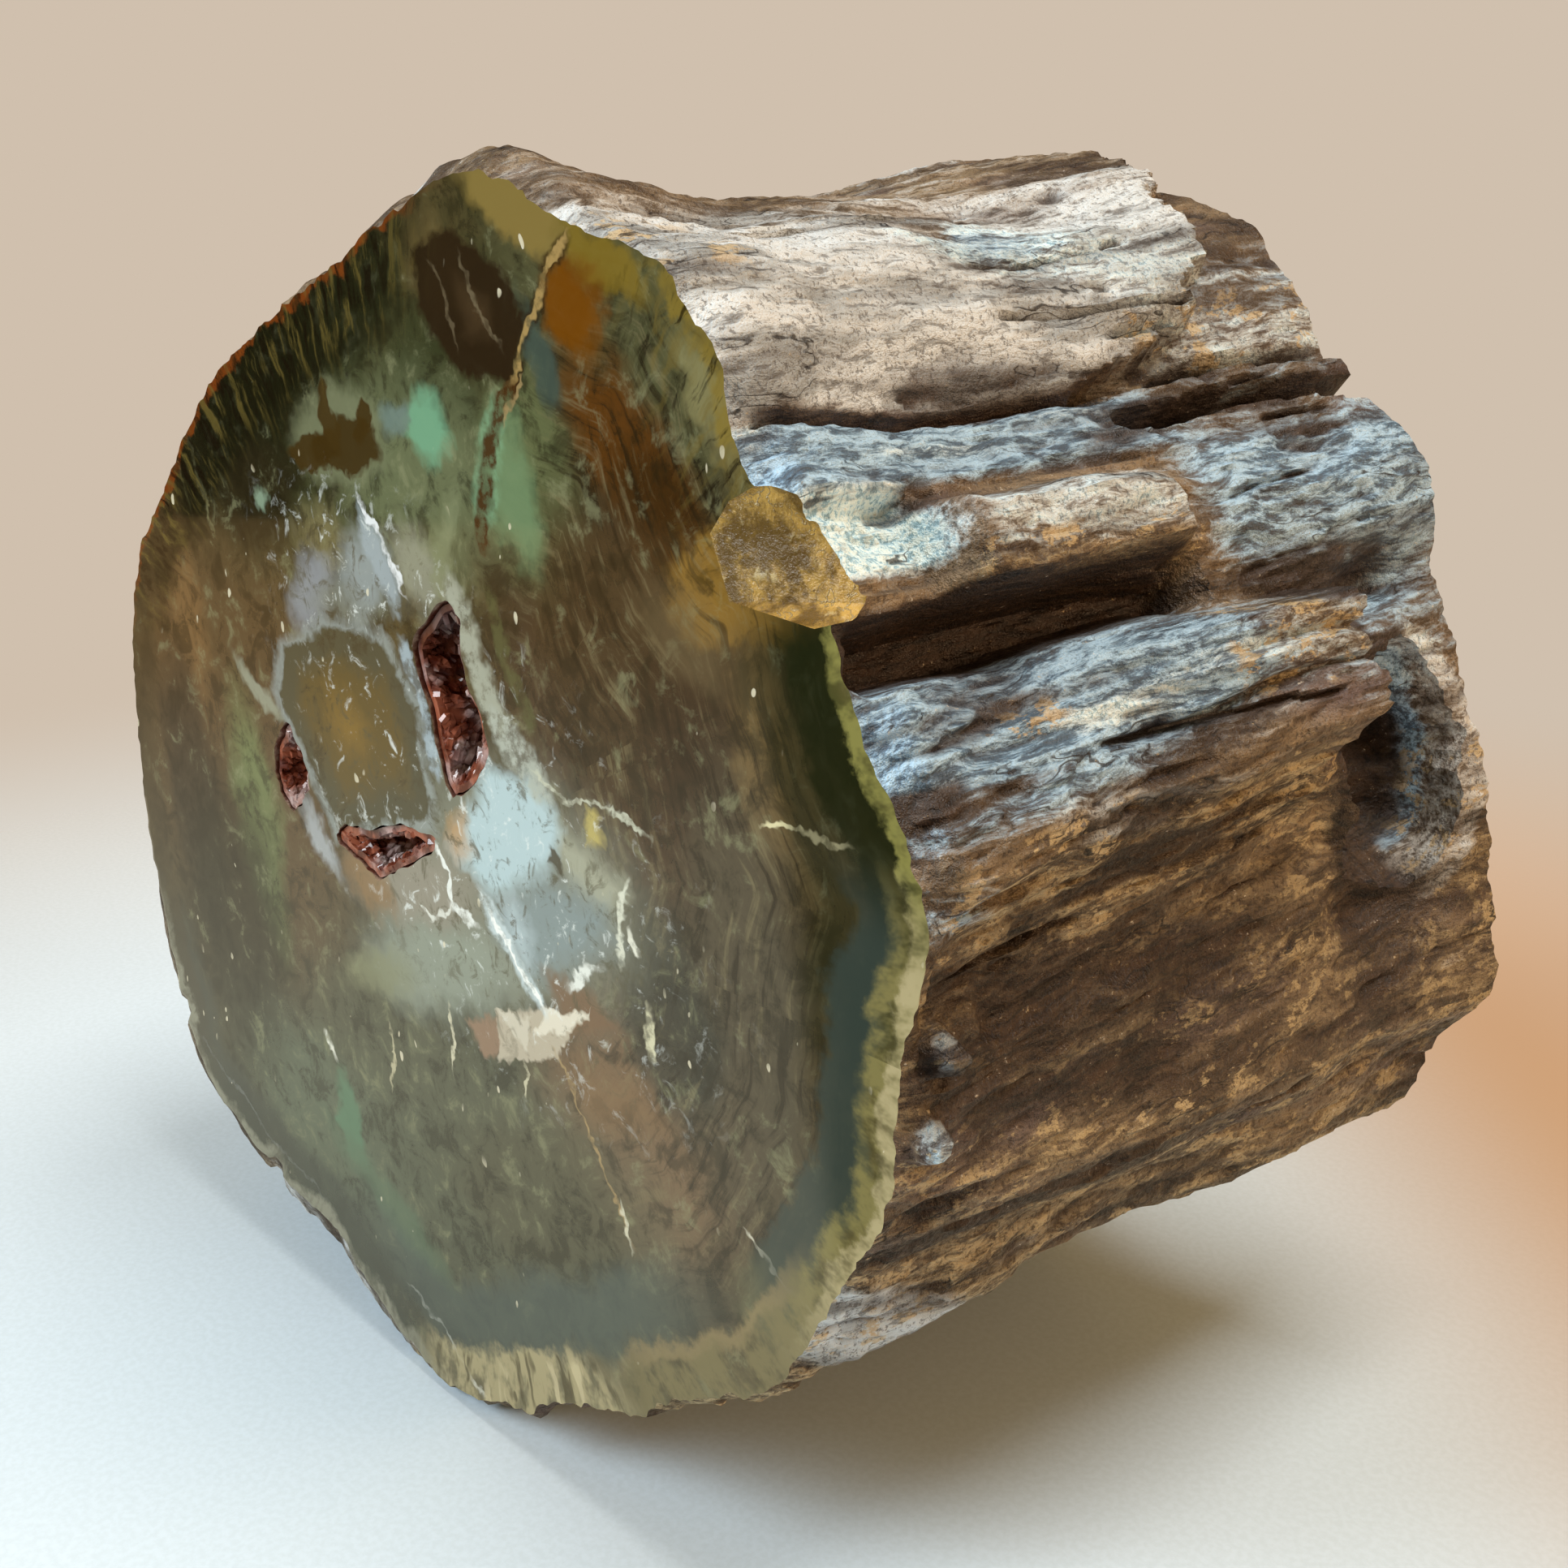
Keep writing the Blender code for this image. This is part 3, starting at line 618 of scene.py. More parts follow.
def flank_tones_and_shade(points):
    """How pale, blue, golden and dark the flank is at each point, from 0 to 1, by its place and relief: the dark is
    mostly painted shade in its recesses, the blue partly a painted cool sheen.
    """
    degrees, y = log_place(points)
    y = np.clip(y, 0, 170)
    turn = from_right(degrees)
    out = np.hypot(points[:, 0] - AXIS_X, points[:, 2] - AXIS_Z) * PER_METRE
    sunk = body_radius(degrees, y) + 0.6 * form_relief(degrees, y) - out
    fibre = fibre_relief(degrees, y)
    sway = degrees + 0.9 * lumps(degrees, y, 30, 34, 51)
    streak = lumps(sway, y, 150, 40, 81) + 0.6 * lumps(sway, y, 420, 26, 82)
    cloud = lumps(degrees, y, 26, 22, 83) + 0.5 * lumps(degrees, y, 70, 12, 84, 20)
    gone = plate_break(turn, y)
    cup_middle = (AXIS_X + 0.119, FACE_Y + 0.138, 0.131)
    from_cup = np.linalg.norm((points - cup_middle) / (0.027, 0.0225, 0.025), axis=1)

    plate = window(turn, 45.4, 108, 1) * (1 - gone)
    pale = plate * (0.62 + 0.22 * hump(turn, 57, 9) + 0.14 * streak - 0.34 * rise(turn, 68, 8))
    pale += 0.4 * window(turn, 46, 53, 1.5) * (1 - gone)
    pale += 0.5 * gone * window(turn, 46, 56, 2) * rise(streak, -0.6, 0.7)
    pale += 0.8 * rise(turn, 44, 2) * (1 - rise(turn, 66, 4)) * (1 - rise(y, 6, 5)) * rise(cloud, 0.0, 0.4)
    pale += 0.8 * hump(turn, 61.7, 1.2) * hump(y, 129, 5)
    pale += 0.95 * window(turn, 32.5, 38.8, 1) * (1 - rise(y, 25, 2))
    pale += 0.6 * np.clip(rim_knobs(turn, y) / 2.5, 0, 1)
    pale += 0.55 * window(turn, 31, 37, 1) * window(y, 27, 80, 5) * rise(streak, -0.5, 0.6)
    pale += 0.45 * window(turn, 11, 23, 3) * (1 - rise(y, 96, 30)) * rise(streak, 0.2, 0.5)
    pale += 0.85 * window(turn + 0.25 * y, -30, -19.5, 2) * (1 - rise(y, 42, 8))
    pale += 0.5 * window(turn, 36, 40, 1) * window(y, 22, 48, 6) * rise(cloud, 0.2, 0.4)
    pale += 0.3 * rise(streak, 0.9, 0.3) * rise(turn, -45, 20)
    pale += 0.5 * window(degrees, 231, 262, 4) * (1 - rise(y, 9, 4))

    # The blue tone is partly the stone's blue-grey and partly a painted cool sheen on the plates, ridges and wedge
    # top that face up.
    blue = 0.9 * window(turn, 38.8, 44.6, 1) * (1 - rise(y, 92, 14))
    on_blue_patch = hump(np.hypot((turn - 61) / 6, (y - 78) / 24), 0, 0.9)
    blue += 0.95 * on_blue_patch * rise(cloud, -0.5, 0.5)
    pale -= 0.35 * on_blue_patch
    blue += 0.9 * window(turn, 17.5, 26, 2.5) * (1 - rise(y, 84, 22))
    blue += 0.7 * window(turn, 14.5, 21, 2) * (1 - rise(y, 60, 25)) * rise(streak, -0.6, 0.5)
    blue += 0.55 * hump(turn, 10.6, 2.2) * (1 - rise(y, 14, 8))
    blue += 1.1 * hump(np.hypot((turn - 25.5) / 3.6, (y - 137) / 15), 0, 0.9)
    blue += 0.4 * window(turn, 27, 38.8, 2) * rise(y, 84, 12) * rise(cloud, -0.2, 0.6)
    blue += 0.95 * window(turn, 32.5, 38.8, 1) * (1 - rise(y, 25, 2))
    blue += 0.5 * np.clip(rim_knobs(turn, y) / 2.5, 0, 1)
    blue += 0.42 * window(turn, 31, 37, 1) * window(y, 27, 80, 5)
    rear_side = window(turn, 14, 60, 6) * rise(y, 92, 14)
    blue += 0.42 * rear_side * rise(cloud, -0.9, 0.9)
    # In the branch cup the near half and the bottom are darkened as painted shade, and the far wall is made blue and
    # pale as painted cool light.
    in_cup = 1 - rise(from_cup, 1.1, 0.1)
    blue += 0.7 * in_cup * window(out, 104, 111, 2) * rise(y, 142, 3)
    pale += 0.45 * in_cup * rise(out, 110, 2) * rise(y, 140, 4)
    pale += 0.35 * hump(from_cup, 1.12, 0.1) * rise(y, 144, 5)
    blue += 0.4 * rise(cloud, 0.7, 0.5) * window(degrees, 105, 215, 12)

    gold = 0.5 * window(turn, 29.5, 32.5, 0.9) * window(y, 27, 84, 4)
    gold += 0.6 * window(turn, 6, 13.5, 2.5) * window(y, 8, 112, 12)
    gold += 0.75 * hump(np.hypot((turn - 21) / 1.1, (y - 29) / 7), 0, 1)
    gold += 0.8 * window(turn, 18.5, 24.5, 2) * window(y, 76, 120, 10) * rise(streak, -0.5, 0.6)
    gold += 0.45 * window(turn, 46, 53, 2) * rise(y, 96, 6)
    gold += 0.3 * window(turn, 55, 66, 4) * (1 - rise(y, 22, 12))
    gold += 0.26 * window(turn, -60, 8, 6) + 0.3 * window(turn, -48, 6, 6) * rise(streak, 0.15, 0.55)
    gold += 0.4 * window(turn, -60, -20, 6) * (1 - rise(y, 40, 20))
    gold += 0.35 * rise(cloud, 0.2, 0.7) * window(degrees, 100, 320, 12)

    # Most of the dark tone is painted shade: in the groove, the slot, the seams, the step where the top plate broke
    # away, the cleft behind the wedge's nose, the dimple, the notch, the branch cup, under the wedge, on the belly
    # that faces down, in the low places of the fibres and where the surface is sunk. The rest is darker stone along
    # random streaks and clouds and along the lower left rim.
    dark = 0.95 * window(turn, 25.6, 30.4, 0.8) * (1 - rise(y, 80, 5))
    dark += 0.9 * window(turn, 41.4, 43.6, 0.5) * rise(y, 87, 4)
    dark += 2.6 * gone * (1 - gone) * window(turn, 45, 90, 2)
    dark += 0.8 * hump(turn, 45.1, 0.3) * window(y, 4, 84, 4)
    dark += 0.7 * hump(turn, 46.6, 0.4) * window(y, 104, 152, 4)
    dark += 0.45 * window(turn, -6, 5, 4) * (1 - rise(y, 90, 40)) + 0.4 * rise(-streak, 0.5, 0.5)
    # Painted shade in the branch cup's bottom and near half.
    dark += 1.0 * in_cup * (1 - rise(out, 106, 4)) + 0.8 * in_cup * (1 - rise(y, 140, 5))
    dark += 0.6 * hump(turn, -7, 5) * hump(y, 131, 14)
    dark += 0.9 * window(turn, 8, 27, 2) * window(y, 112, 128, 2.5)
    dark += 0.55 * hump(np.hypot((turn - 25.5) / 3.2, (y - 137) / 14), 0, 0.8)
    dark += 0.34 * window(turn, -60, 2, 5) * rise(y, 4, 6) + 0.22 * rear_side * rise(-cloud, -0.6, 0.9)
    dark += np.clip(-fibre / 1.9, 0, 1) * 0.8 + 0.35 * rise(sunk, 5, 3) * (from_cup > 1.2)
    dark += 0.5 * window(degrees, 193, 231, 4) * (1 - rise(y, 7, 3))
    return np.clip(np.stack([pale, blue, gold, dark], axis=-1), 0, 1)


def rim_map(mesh):
    """A UV map in metres: u runs along the rim of the polished face, v inwards from it, or back behind it."""
    points = mesh_points(mesh)
    degrees, y = log_place(points)
    columns = column_angles()
    edge = stone_radius(columns, 0 * columns) - face_bevel(columns)
    rim = placed(columns, edge, 0 * columns)[:, [0, 2]]
    inward = np.zeros(len(points))
    level = np.abs(y) < 0.01
    for some in np.array_split(np.flatnonzero(level), 40):
        inward[some] = np.linalg.norm(points[some][:, None, [0, 2]] - rim[None], axis=2).min(axis=1)
    behind = np.where(level, 0, y) * MM
    corner = read_from(mesh.loops, "vertex_index")
    start = read_from(mesh.polygons, "loop_start")
    size = np.diff(np.append(start, len(corner)))
    first = np.repeat(degrees[corner[start]], size)
    near_first = first + from_right(degrees[corner] - first)
    u = near_first / 360 * 2 * np.pi * MEAN_RADIUS * MM
    v = inward[corner] - behind[corner]
    layer = mesh.uv_layers.get("rim") or mesh.uv_layers.new(name="rim")
    layer.data.foreach_set("uv", np.stack([u, v], axis=-1).astype(np.float32).ravel())


tones = stone.data.attributes.new("flank_tones_and_shade", "FLOAT_COLOR", "POINT")
tones.data.foreach_set("color", flank_tones_and_shade(mesh_points(stone.data)).astype(np.float32).ravel())
rim_map(stone.data)
stone.data.shade_smooth()
slots = read_from(stone.data.polygons, "material_index")
stone.data.polygons.foreach_set("use_smooth", slots != GOLD_CHIP)
stone.data.set_sharp_from_angle(angle=math.radians(SHARP_DEGREES))
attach(stone, "root")
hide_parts("petrified_log")


# The polished face: agate and jasper in the wood's cells, brought to a high gloss. Round the
# druse hollows the agate is white and blue-grey; outwards lie brown and green jasper, a dark
# green band and a thin pale rind at the rim. The patches are ellipses on shaken coordinates.
def tint(red, green, blue):
    """A linear colour from the 0 to 255 values of a screen colour."""
    share = np.array([red, green, blue]) / 255
    linear = np.where(share <= 0.04045, share / 12.92, ((share + 0.055) / 1.055) ** 2.4)
    return (*linear.tolist(), 1.0)


def put(tree, kind, inputs=None, **settings):
    """A new node with its settings; each input gets a value, or a link from another node's output."""
    made = tree.nodes.new(kind)
    for name, value in settings.items():
        setattr(made, name, value)
    for name, value in (inputs or {}).items():
        if isinstance(value, bpy.types.NodeSocket):
            tree.links.new(value, made.inputs[name])
        else:
            made.inputs[name].default_value = value
    return made


def maths(kind, first, second):
    """The output of a Math node of that kind on a socket and a value or a second socket."""
    return put(first.id_data, "ShaderNodeMath", {0: first, 1: second}, operation=kind).outputs[0]


def times(first, second):
    """The product of a socket and a value or a second socket."""
    return maths("MULTIPLY", first, second)


def plus(first, second):
    """The sum of a socket and a value or a second socket."""
    return maths("ADD", first, second)


def less(first, second):
    """A socket less a value or a second socket."""
    return maths("SUBTRACT", first, second)


def vector_maths(kind, inputs):
    """A Vector Math node of that kind, in the tree of its first input."""
    return put(inputs[0].id_data, "ShaderNodeVectorMath", inputs, operation=kind)


def blended(amount, under, over):
    """The colour over laid on the colour under, by an amount from 0 to 1."""
    inputs = {0: amount, 6: under, 7: over}
    return put(amount.id_data, "ShaderNodeMix", inputs, data_type="RGBA").outputs[2]


def ramped(value, low, high, to_low=0.0, to_high=1.0):
    """A value mapped from low..high to to_low..to_high, smooth and clamped."""
    inputs = {"Value": value, "From Min": low, "From Max": high, "To Min": to_low, "To Max": to_high}
    return put(value.id_data, "ShaderNodeMapRange", inputs, interpolation_type="SMOOTHSTEP").outputs[0]


def stretched(place, scale):
    """A place with each coordinate multiplied by its scale."""
    return put(place.id_data, "ShaderNodeMapping", {"Vector": place, "Scale": scale}).outputs[0]


def cloud(place, scale, detail=4.0, rough=0.55, stretch=None, twist=0.0):
    """Noise on a place, its scale in cells per metre, with the place first squeezed by stretch."""
    if stretch is not None:
        place = stretched(place, stretch)
    inputs = {"Vector": place, "Scale": scale, "Detail": detail, "Roughness": rough, "Distortion": twist}
    return put(place.id_data, "ShaderNodeTexNoise", inputs).outputs[0]


def shaken(place, scale, reach, detail=2.0):
    """A place moved at random by up to about half of reach, in metres."""
    noise = cloud(place, scale, detail, 0.6).node.outputs["Color"]
    centred = vector_maths("SUBTRACT", {0: noise, 1: (0.5, 0.5, 0.5)}).outputs[0]
    moved = vector_maths("SCALE", {0: centred, "Scale": reach}).outputs[0]
    return vector_maths("ADD", {0: place, 1: moved}).outputs[0]


def emptied(owner):
    """The node tree of a material or world, emptied, and the object coordinates in it."""
    owner.use_nodes = True
    owner.node_tree.nodes.clear()
    return owner.node_tree, put(owner.node_tree, "ShaderNodeTexCoord").outputs["Object"]


def surfaced(tree, colour, roughness, bend, height=None, strength=0.0, deep=0.0):
    """Ends a material in a Principled shader with its index of refraction and a bump, deep in metres."""
    inputs = {"Base Color": colour, "Roughness": roughness, "IOR": bend}
    if height is not None:
        bump = {"Strength": strength, "Distance": deep, "Height": height}
        inputs["Normal"] = put(tree, "ShaderNodeBump", bump).outputs[0]
    shader = put(tree, "ShaderNodeBsdfPrincipled", inputs)
    put(tree, "ShaderNodeOutputMaterial", {"Surface": shader.outputs[0]})


def patch_ball(place, centre, half, turn, soft):
    """How far inside an ellipse of the polished face a place is: 1 at its centre, 0 at 1 + soft of its size.

    Centre and half size are in millimetres across and up in the face's plane, the turn in degrees.
    A spherical gradient, squeezed to the ellipse, gives 1 less the distance from its centre.
    """
    reach = 1 + soft
    ball = put(place.id_data, "ShaderNodeTexGradient", {"Vector": place}, gradient_type="SPHERICAL")
    ball.texture_mapping.vector_type = "TEXTURE"
    ball.texture_mapping.translation = (AXIS_X + centre[0] * MM, FACE_Y, centre[1] * MM)
    ball.texture_mapping.rotation = (0, -math.radians(turn), 0)
    ball.texture_mapping.scale = (half[0] * MM * reach, 1.0, half[1] * MM * reach)
    return ball.outputs["Fac"]


def soft_edge(ball, soft, strength=1.0):
    """A mask from patch_ball's value: the strength inside the ellipse, falling to 0 over soft at its edge."""
    return ramped(ball, 0, 2 * soft / (1 + soft), 0.0, strength)


def patch_mask(place, centre, half, turn, soft, strength=1.0):
    """Mask of one elliptical patch of the polished face."""
    return soft_edge(patch_ball(place, centre, half, turn, soft), soft, strength)


def vein_patches(points, wide):
    """Thin patches end to end along a line of points: centre, half size and turn of each."""
    points = np.array(points, float)
    out = []
    for a, b in zip(points, points[1:]):
        long = np.linalg.norm(b - a)
        turn = math.degrees(math.atan2(b[1] - a[1], b[0] - a[0]))
        out.append((tuple((a + b) / 2), (long * 0.62, wide), turn))
    return out


# Broad ground of the face: where, half size, turn, softness, colour, strength.
GROUND = [
    ((-10, 60), (100, 62), 0, 0.45, (72, 72, 56), 0.9),
    ((-72, 122), (46, 58), 0, 0.4, (86, 68, 44), 0.9),
    ((62, 128), (34, 78), 8, 0.35, (68, 52, 36), 0.95),
    ((-14, 195), (60, 26), 18, 0.5, (54, 58, 34), 0.8),
    ((-52, 198), (36, 17), 42, 0.5, (24, 24, 10), 0.92),
    ((60, 212), (30, 20), -38, 0.4, (76, 76, 50), 0.85),
    ((38, 189), (13, 17), 10, 0.35, (92, 98, 64), 0.9),
    ((4, 186), (24, 17), 0, 0.5, (100, 106, 76), 0.9),
    ((62, 196), (21, 9), -42, 0.4, (84, 50, 14), 0.95),
    ((70, 187), (13, 9), -40, 0.4, (56, 36, 12), 0.9),
    ((-65, 106), (9, 26), 8, 0.45, (108, 120, 78), 0.85),
    ((-95, 150), (14, 28), 10, 0.3, (112, 86, 54), 0.9),
    ((-94, 108), (12, 34), 8, 0.4, (52, 44, 32), 0.85),
    ((54, 166), (18, 24), 10, 0.35, (62, 48, 28), 0.9),
    ((76, 162), (13, 18), 0, 0.4, (52, 38, 22), 0.85),
    ((91, 158), (6, 15), 0, 0.4, (116, 94, 56), 0.8),
    ((60, 84), (30, 22), 25, 0.4, (112, 90, 66), 0.9),
    ((86, 112), (14, 40), 0, 0.4, (74, 68, 52), 0.75),
    ((6, 58), (60, 24), 4, 0.5, (82, 86, 68), 0.85),
    ((30, 60), (30, 16), 14, 0.5, (76, 70, 50), 0.6),
    ((-50, 45), (34, 18), -24, 0.5, (90, 98, 80), 0.8),
    ((-80, 82), (24, 30), 0, 0.5, (42, 40, 26), 0.85),
    ((-52, 176), (17, 10), 20, 0.4, (40, 34, 18), 0.85),
    ((68, 108), (12, 17), 10, 0.4, (46, 48, 40), 0.85),
    ((-18, 74), (30, 12), 0, 0.5, (78, 78, 60), 0.6),
    ((87, 181), (18, 9), 10, 0.2, (128, 98, 42), 0.92),
    ((-28, 171), (9, 6), 0, 0.5, (112, 106, 72), 0.8),
]
# Soft patches: the knot, the green chalcedony beside it and the milky agate round the hollows.
FEATURES = [
    ((13, 222), (9, 7), -20, 0.4, (92, 78, 46), 0.8),
    ((74, 171), (12, 6), -20, 0.6, (96, 82, 56), 0.6),
    ((36, 231), (14, 6), -22, 0.3, (124, 106, 56), 0.95),
    ((58, 223), (11, 3.4), -30, 0.4, (118, 98, 34), 0.85),
    ((50, 217.5), (6.5, 6.5), -30, 0.4, (106, 62, 6), 0.92),
    ((41, 209), (3.4, 8), 30, 0.4, (62, 76, 68), 0.8),
    ((80, 206), (4, 10), 38, 0.5, (130, 124, 84), 0.75),
    ((9, 195), (5.2, 6.5), -10, 0.4, (108, 154, 122), 0.92),
    ((0, 196), (5, 3.4), 20, 0.5, (106, 124, 116), 0.8),
    ((33, 188), (5.5, 11), 16, 0.6, (104, 128, 92), 0.85),
    ((-51, 177), (2.4, 2), 0, 0.4, (126, 146, 124), 0.9),
    ((-20, 190.5), (16, 9), 6, 0.25, (112, 116, 88), 0.8),
    ((-29, 187.4), (9.5, 3.8), 10, 0.16, (60, 44, 14), 0.95),
    ((-18, 189), (12, 5.6), 6, 0.12, (58, 42, 12), 0.95),
    ((-23, 194), (3, 6), 22, 0.16, (62, 46, 16), 0.95),
    ((-12, 193.5), (3, 4.6), -22, 0.16, (60, 44, 14), 0.95),
    ((-34, 161), (9, 5), 34, 0.6, (134, 140, 146), 0.85),
    ((-20, 161), (14, 3.4), 4, 0.6, (120, 124, 112), 0.7),
    ((-15, 168), (8, 6), 34, 0.6, (140, 150, 150), 0.85),
    ((3, 170), (8, 7), -30, 0.5, (142, 144, 126), 0.75),
    ((12, 176), (3, 9), -26, 0.5, (122, 128, 96), 0.7),
    ((-59, 137), (10, 2.2), -22, 0.5, (148, 152, 132), 0.75),
    ((22, 118), (40, 22), 8, 0.35, (122, 124, 108), 0.8),
    ((-40, 111), (9, 3.2), -46, 0.5, (160, 166, 168), 0.8),
    ((-6, 110), (22, 8), 14, 0.5, (140, 134, 120), 0.8),
    ((-22, 105), (9, 5), -20, 0.5, (130, 100, 62), 0.75),
    ((2, 96), (25, 8.5), 14, 0.5, (136, 144, 130), 0.85),
    ((-20, 88), (12, 4), 20, 0.6, (124, 126, 96), 0.7),
    ((-36, 50), (5, 10), 14, 0.25, (86, 116, 90), 0.9),
    ((-22, 36), (24, 5), -24, 0.5, (86, 104, 82), 0.7),
    ((92, 70), (9, 7), 60, 0.4, (98, 98, 72), 0.6),
]
# Patches with straight sides, as agate and crystals meet: corners, softness in mm, colour, strength.
FACETS = [
    ([(8, 225), (20, 227.5), (33, 221.5), (39, 213), (33, 204), (16, 204.5), (7, 214)], 1.6, (40, 28, 14), 0.96),
    ([(18, 222), (29, 218), (30, 209), (20, 209)], 5, (80, 62, 40), 0.55),
    ([(-51, 150), (-27, 159), (-9, 159), (3, 147), (5.5, 122), (-33, 110.5), (-55, 138)], 2.4, (136, 144, 140), 0.8),
    ([(-48, 149), (-26, 156.5), (-10, 156), (0, 145.5), (2.5, 125), (-31, 114), (-51, 137)], 1.2, (70, 66, 44), 0.95),
    ([(-43, 147), (-24, 152), (-10, 151), (-2, 141), (-3, 128), (-30, 119), (-46, 136)], 5, (92, 76, 38), 0.9),
    ([(-34, 144), (-22, 146), (-15, 138), (-17, 129), (-28, 128), (-35, 136)], 7, (122, 96, 42), 0.85),
    ([(-17, 182), (-12, 179), (-1, 167), (-3.5, 160), (-10, 164), (-16, 172)], 2.2, (146, 158, 162), 0.9),
    ([(36, 139), (43, 136.5), (58, 136), (62, 126), (56, 120), (42, 122)], 4.5, (158, 160, 140), 0.85),
    ([(16, 116), (34, 127), (56, 127), (60, 117), (48, 107.5), (33, 100), (20, 105)], 7, (124, 138, 138), 0.93),
    ([(5, 121), (20, 141), (35, 142.5), (45, 134), (38, 122), (20, 113)], 4.5, (172, 194, 198), 0.95),
    ([(20, 116), (28, 120), (34, 113), (33, 101), (24, 106)], 5, (178, 194, 198), 0.7),
    ([(6, 127), (14, 132), (18, 122), (11, 118), (5, 121)], 4, (172, 134, 84), 0.8),
    ([(38, 131), (42, 130), (41, 125), (37, 127)], 0.9, (64, 58, 40), 0.9),
    ([(49, 139), (54, 138.5), (53, 133), (49, 132)], 1.6, (176, 162, 96), 0.9),
    ([(32, 108), (47, 109), (60, 102), (42, 95)], 3, (112, 86, 62), 0.85),
    ([(37, 92), (60, 98), (74, 88), (46, 78)], 6, (120, 94, 64), 0.6),
    ([(9, 88), (22, 94.5), (23, 86), (15, 83)], 1.2, (138, 112, 90), 0.9),
    ([(20, 94), (34, 99), (49, 104.5), (38, 90.5), (20, 83.5)], 0.7, (176, 166, 146), 0.95),
    ([(31, 93), (35, 99), (49, 104.5), (40, 95)], 0.7, (214, 208, 190), 0.85),
    ([(20, 94), (31, 97), (29, 88)], 0.7, (198, 192, 174), 0.7),
]
VEIN_SOFT = 0.35
# Thin veins, and short pale marks that are painted glints on pits: points along each, half width in mm, colour,
# strength.
VEINS = [
    ([(48.7, 226), (42.4, 219), (37, 210), (33, 205)], 1.7, (44, 30, 12), 0.75),
    ([(48.7, 226), (42.4, 219), (37, 210), (33, 205)], 0.75, (156, 130, 80), 0.95),
    ([(30, 200), (26, 191), (23.4, 182)], 3.4, (122, 160, 124), 0.6),
    ([(34, 205), (29, 197), (25.5, 190), (23.4, 183), (24.4, 177)], 1.9, (66, 40, 14), 0.96),
    ([(36, 206), (34, 202), (32, 198)], 0.6, (146, 124, 84), 0.9),
    ([(13, 221), (17, 215), (19, 209)], 0.5, (104, 92, 70), 0.6),
    ([(22, 222), (25, 214), (30, 210)], 0.6, (116, 104, 80), 0.6),
    ([(13, 169), (19, 157), (26, 148)], 3.4, (156, 160, 144), 0.92),
    ([(24, 149), (32, 143), (38, 138)], 3.4, (166, 172, 160), 0.9),
    ([(24, 169), (29, 158), (35, 149)], 2.2, (84, 86, 52), 0.7),
    ([(-15, 181), (-9, 175), (-2, 167)], 0.7, (222, 226, 228), 0.9),
    ([(-4, 157), (1, 150), (3, 143), (6, 134)], 1.7, (156, 172, 180), 0.85),
    ([(2.7, 120.6), (7.3, 116), (8, 110), (15.2, 108.5)], 0.8, (226, 230, 224), 0.9),
    ([(8, 110), (2, 106), (-3, 107)], 0.6, (214, 216, 206), 0.85),
    ([(59, 128), (57.5, 121), (56, 115)], 0.8, (214, 216, 198), 0.85),
    ([(50, 111), (43, 107)], 1.3, (222, 226, 218), 0.9),
    ([(36, 141.5), (43, 138.6), (53, 140), (63, 137.6)], 0.5, (186, 188, 168), 0.9),
    ([(18, 114), (27, 105.5), (34.4, 98.5)], 1.9, (190, 204, 206), 0.85),
    ([(20, 112), (28, 104.5), (34, 99)], 0.6, (236, 238, 232), 0.9),
    ([(38, 91), (44, 84), (51, 73), (57, 64)], 0.5, (158, 134, 92), 0.8),
    ([(-118, 60), (-108, 46), (-95, 40), (-72, 31), (-52, 26)], 0.5, (158, 162, 160), 0.85),
    ([(-16, 19), (-6, 15.6), (8, 7)], 0.6, (196, 198, 188), 0.85),
    # A painted glint along an edge.
    ([(88, 77.4), (94, 74), (103, 71)], 0.5, (200, 196, 176), 0.85),
    ([(92, 146.6), (100, 147.4), (108, 147.4)], 0.6, (210, 202, 160), 0.95),
    # The next seven rows are painted glints on small pits.
    ([(-18, 77), (-18, 66)], 0.55, (186, 178, 146), 0.8),
    ([(4.6, 88), (4.6, 77)], 0.6, (206, 200, 172), 0.85),
    ([(27.6, 86), (27.8, 81)], 0.5, (196, 190, 160), 0.85),
    ([(64, 108), (65, 101)], 1.3, (206, 202, 170), 0.9),
    ([(60, 120.4), (61.4, 117.6)], 1.1, (222, 222, 206), 0.9),
    ([(-43.5, 67), (-40.5, 63)], 1.0, (222, 222, 206), 0.85),
    ([(55, 69), (57, 63)], 0.7, (200, 196, 172), 0.85),
    ([(-81, 187), (-73.5, 170)], 0.8, (150, 146, 106), 0.75),
    ([(-86, 180), (-82, 171)], 0.6, (126, 120, 80), 0.7),
    ([(-60, 96), (-66, 84), (-63, 70)], 0.4, (40, 34, 20), 0.5),
]


